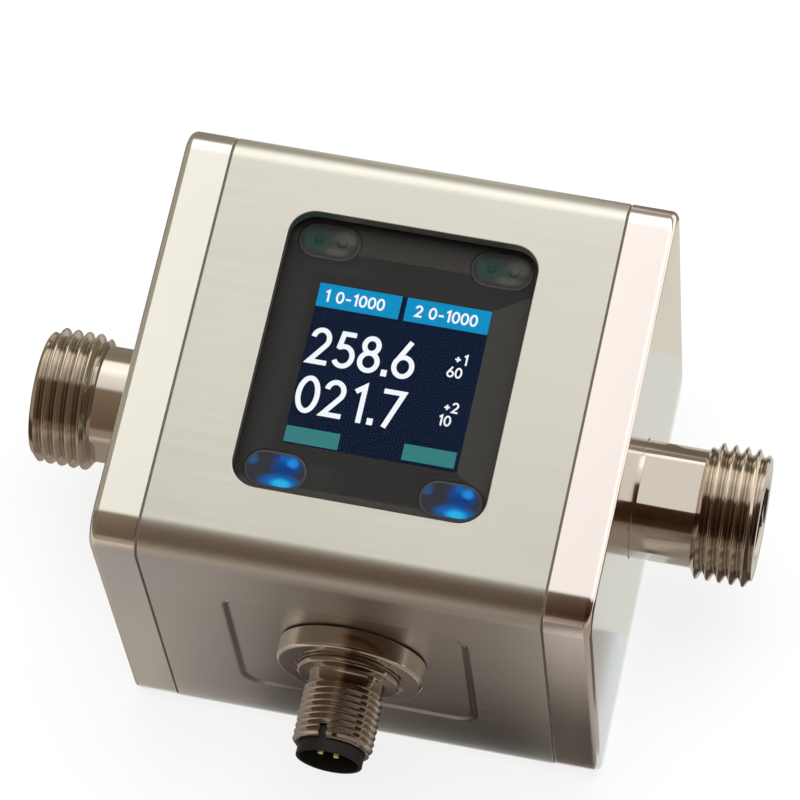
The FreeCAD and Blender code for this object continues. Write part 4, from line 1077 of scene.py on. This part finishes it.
# Standing cards, painted reflections: x and y of one end and of the other, height, and tone
STANDING_CARDS = (
    ("left_end_front", LEFT_END, -TENT_BACK, LEFT_END, LEFT_SPLIT, TENT_BACK, (0.20, 0.165, 0.13)),
    ("left_end_back", LEFT_END, LEFT_SPLIT, LEFT_END, TENT_BACK, TENT_BACK, (0.40, 0.36, 0.29)),
    ("right_end_front", RIGHT_END, -TENT_BACK, RIGHT_END, RIGHT_SPLIT, TENT_BACK, RIGHT_DARK),
    ("right_end_back", RIGHT_END, RIGHT_SPLIT, RIGHT_END, TENT_BACK, TENT_BACK, (0.92, 0.88, 0.82)),
    ("front_stand", STAND_LEFT, STAND_PLACE, STAND_RIGHT, STAND_PLACE, STAND_HEIGHT, (0.012, 0.005, 0.003)),
)


def card(name, corners, tones, near_tones=None):
    """A flat glowing card that paints reflections, its tones given as (x in millimetres, colour) along its
    length.

    Where near_tones are given, it shades into them toward its far side in Y.
    """
    mesh = bpy.data.meshes.new(name)
    mesh.from_pydata([Vector(corner) * MM for corner in corners], [], [(0, 1, 2, 3)])
    shader = Shader(name, Roughness=1.0)
    if len(tones) == 1:
        shader.set("Emission Color", (*tones[0][1], 1))
        add_prop(name, mesh, shader)
        return
    low, high = (pick(corner[0] for corner in corners) for pick in (min, max))
    along, across, _ = shader.axes("Generated")

    def graded(stops):
        return shader.ramp(along, [((x - low) / (high - low), colour) for x, colour in stops])

    tone = graded(tones)
    if near_tones:
        fade = shader.spread(across, 0, 1, 0, SHADE_FULL, interpolation_type="SMOOTHSTEP")
        tone = shader.mix(fade, tone, graded(near_tones))
    shader.into("Emission Color", tone)
    add_prop(name, mesh, shader)


def cards():
    """Cards on the floor round the meter and at the tent's ends, which only its gloss shows: painted
    reflections of the floor's light and shade.
    """
    level = FLOOR_LEVEL / MM + CARD_LIFT

    def on_floor(name, x0, y0, x1, y1, tones, near_tones=None):
        card(name, [(x0, y0, level), (x1, y0, level), (x1, y1, level), (x0, y1, level)], tones, near_tones)

    on_floor("far_floor_reflection", -CARD_REACH, -TENT_BACK, CARD_REACH, -FAR_START, FAR_TONES)
    on_floor("front_floor_reflection", -CARD_REACH, -FAR_START, CARD_REACH, -SHADE_START, FRONT_TONES)
    on_floor("front_shade", -CARD_REACH, -SHADE_START, CARD_REACH, -FRONT_FOOT, FRONT_TONES, SHADE_TONES)
    on_floor("back_floor_reflection", -CARD_REACH, FRONT_FOOT, SIDE_FOOT, TENT_BACK, BACK_TONES)
    for name, x0, y0, x1, y1, tone in PLAIN_REFLECTION_CARDS:
        on_floor(name, x0, y0, x1, y1, [(x0, tone)])
    for name, x0, y0, x1, y1, height, tone in STANDING_CARDS:
        top = level + height
        card(name, [(x0, y0, level), (x1, y1, level), (x1, y1, top), (x0, y0, top)], [(x0, tone)])


LAMP_PLACE, LAMP_SIZE, LAMP_POWER = Vector((0.08, 0.15, 1.5)), 1.0, 24


def key_lamp():
    """One soft lamp over the meter, aimed at its middle, that shows in no gloss."""
    data = bpy.data.lights.new("key_lamp", "AREA")
    data.shape = "RECTANGLE"
    data.size = LAMP_SIZE
    data.size_y = LAMP_SIZE
    data.energy = LAMP_POWER
    lamp = add_object("key_lamp", data)
    lamp.location = LAMP_PLACE
    lamp.rotation_euler = (-LAMP_PLACE).to_track_quat("-Z", "Y").to_euler()
    lamp.visible_glossy = False
    lamp.visible_camera = False


# Colour and strength of the world's light on the meter, and where the world itself is seen
FILL, WHITE = ((0.98, 0.96, 0.94, 1), 0.40), ((1, 1, 1, 1), 1.0)


def world():
    """A soft fill for the meter, and white where the world itself is seen."""
    made = bpy.data.worlds.new("studio")
    made.use_nodes = True
    tree = made.node_tree
    tree.nodes.clear()
    output = tree.nodes.new("ShaderNodeOutputWorld")
    mix = tree.nodes.new("ShaderNodeMixShader")
    tree.links.new(seen_directly(tree), mix.inputs["Fac"])
    for place, (tone, strength) in enumerate((FILL, WHITE), 1):
        light = tree.nodes.new("ShaderNodeBackground")
        light.inputs["Color"].default_value = tone
        light.inputs["Strength"].default_value = strength
        tree.links.new(light.outputs[0], mix.inputs[place])
    tree.links.new(mix.outputs[0], output.inputs["Surface"])
    scene.world = made


# The camera that fits the photo's corners, seams and axes: angles in radians, its place in metres
AZIMUTH, ELEVATION, ROLL = 0.3552, 1.1663, -0.1553
CAMERA_PLACE = Vector((0.099835, -0.265273, 0.683377))
FOCAL_PIXELS, IMAGE_PIXELS, SENSOR = 4880.17, 800, 36.0
NEAREST, FARTHEST = 0.01, 50


def camera():
    flat = math.cos(ELEVATION)
    back = Vector((math.sin(AZIMUTH) * flat, -math.cos(AZIMUTH) * flat, math.sin(ELEVATION)))
    right = Vector((math.cos(AZIMUTH), math.sin(AZIMUTH), 0))
    up = back.cross(right)
    tilted_right = right * math.cos(ROLL) + up * math.sin(ROLL)
    tilted_up = up * math.cos(ROLL) - right * math.sin(ROLL)
    data = bpy.data.cameras.new("camera")
    data.sensor_width = SENSOR
    data.lens = FOCAL_PIXELS / IMAGE_PIXELS * SENSOR
    data.clip_start = NEAREST
    data.clip_end = FARTHEST
    made = add_object("camera", data)
    turn = Matrix((tilted_right, tilted_up, back)).transposed()
    made.matrix_world = Matrix.Translation(CAMERA_PLACE) @ turn.to_4x4()
    scene.camera = made


floor()
tent()
cards()
key_lamp()
world()
camera()
scene.view_settings.view_transform = "Standard"


# Finishes of the nodes: by the slot that their packed material is named for, or a look of their own

OWN_LOOKS = {
    "display_frame": MASK_LOOK, "plug_seal": SEAM_LOOK,
    "inlet_seam_gasket": SEAM_LOOK, "outlet_seam_gasket": SEAM_LOOK,
}
for name, node in nodes.items():
    slot_name = node.data.materials[0].name.split(".")[0]
    node.data.materials.clear()
    node.data.materials.append(OWN_LOOKS.get(name, LOOKS[slot_name]))
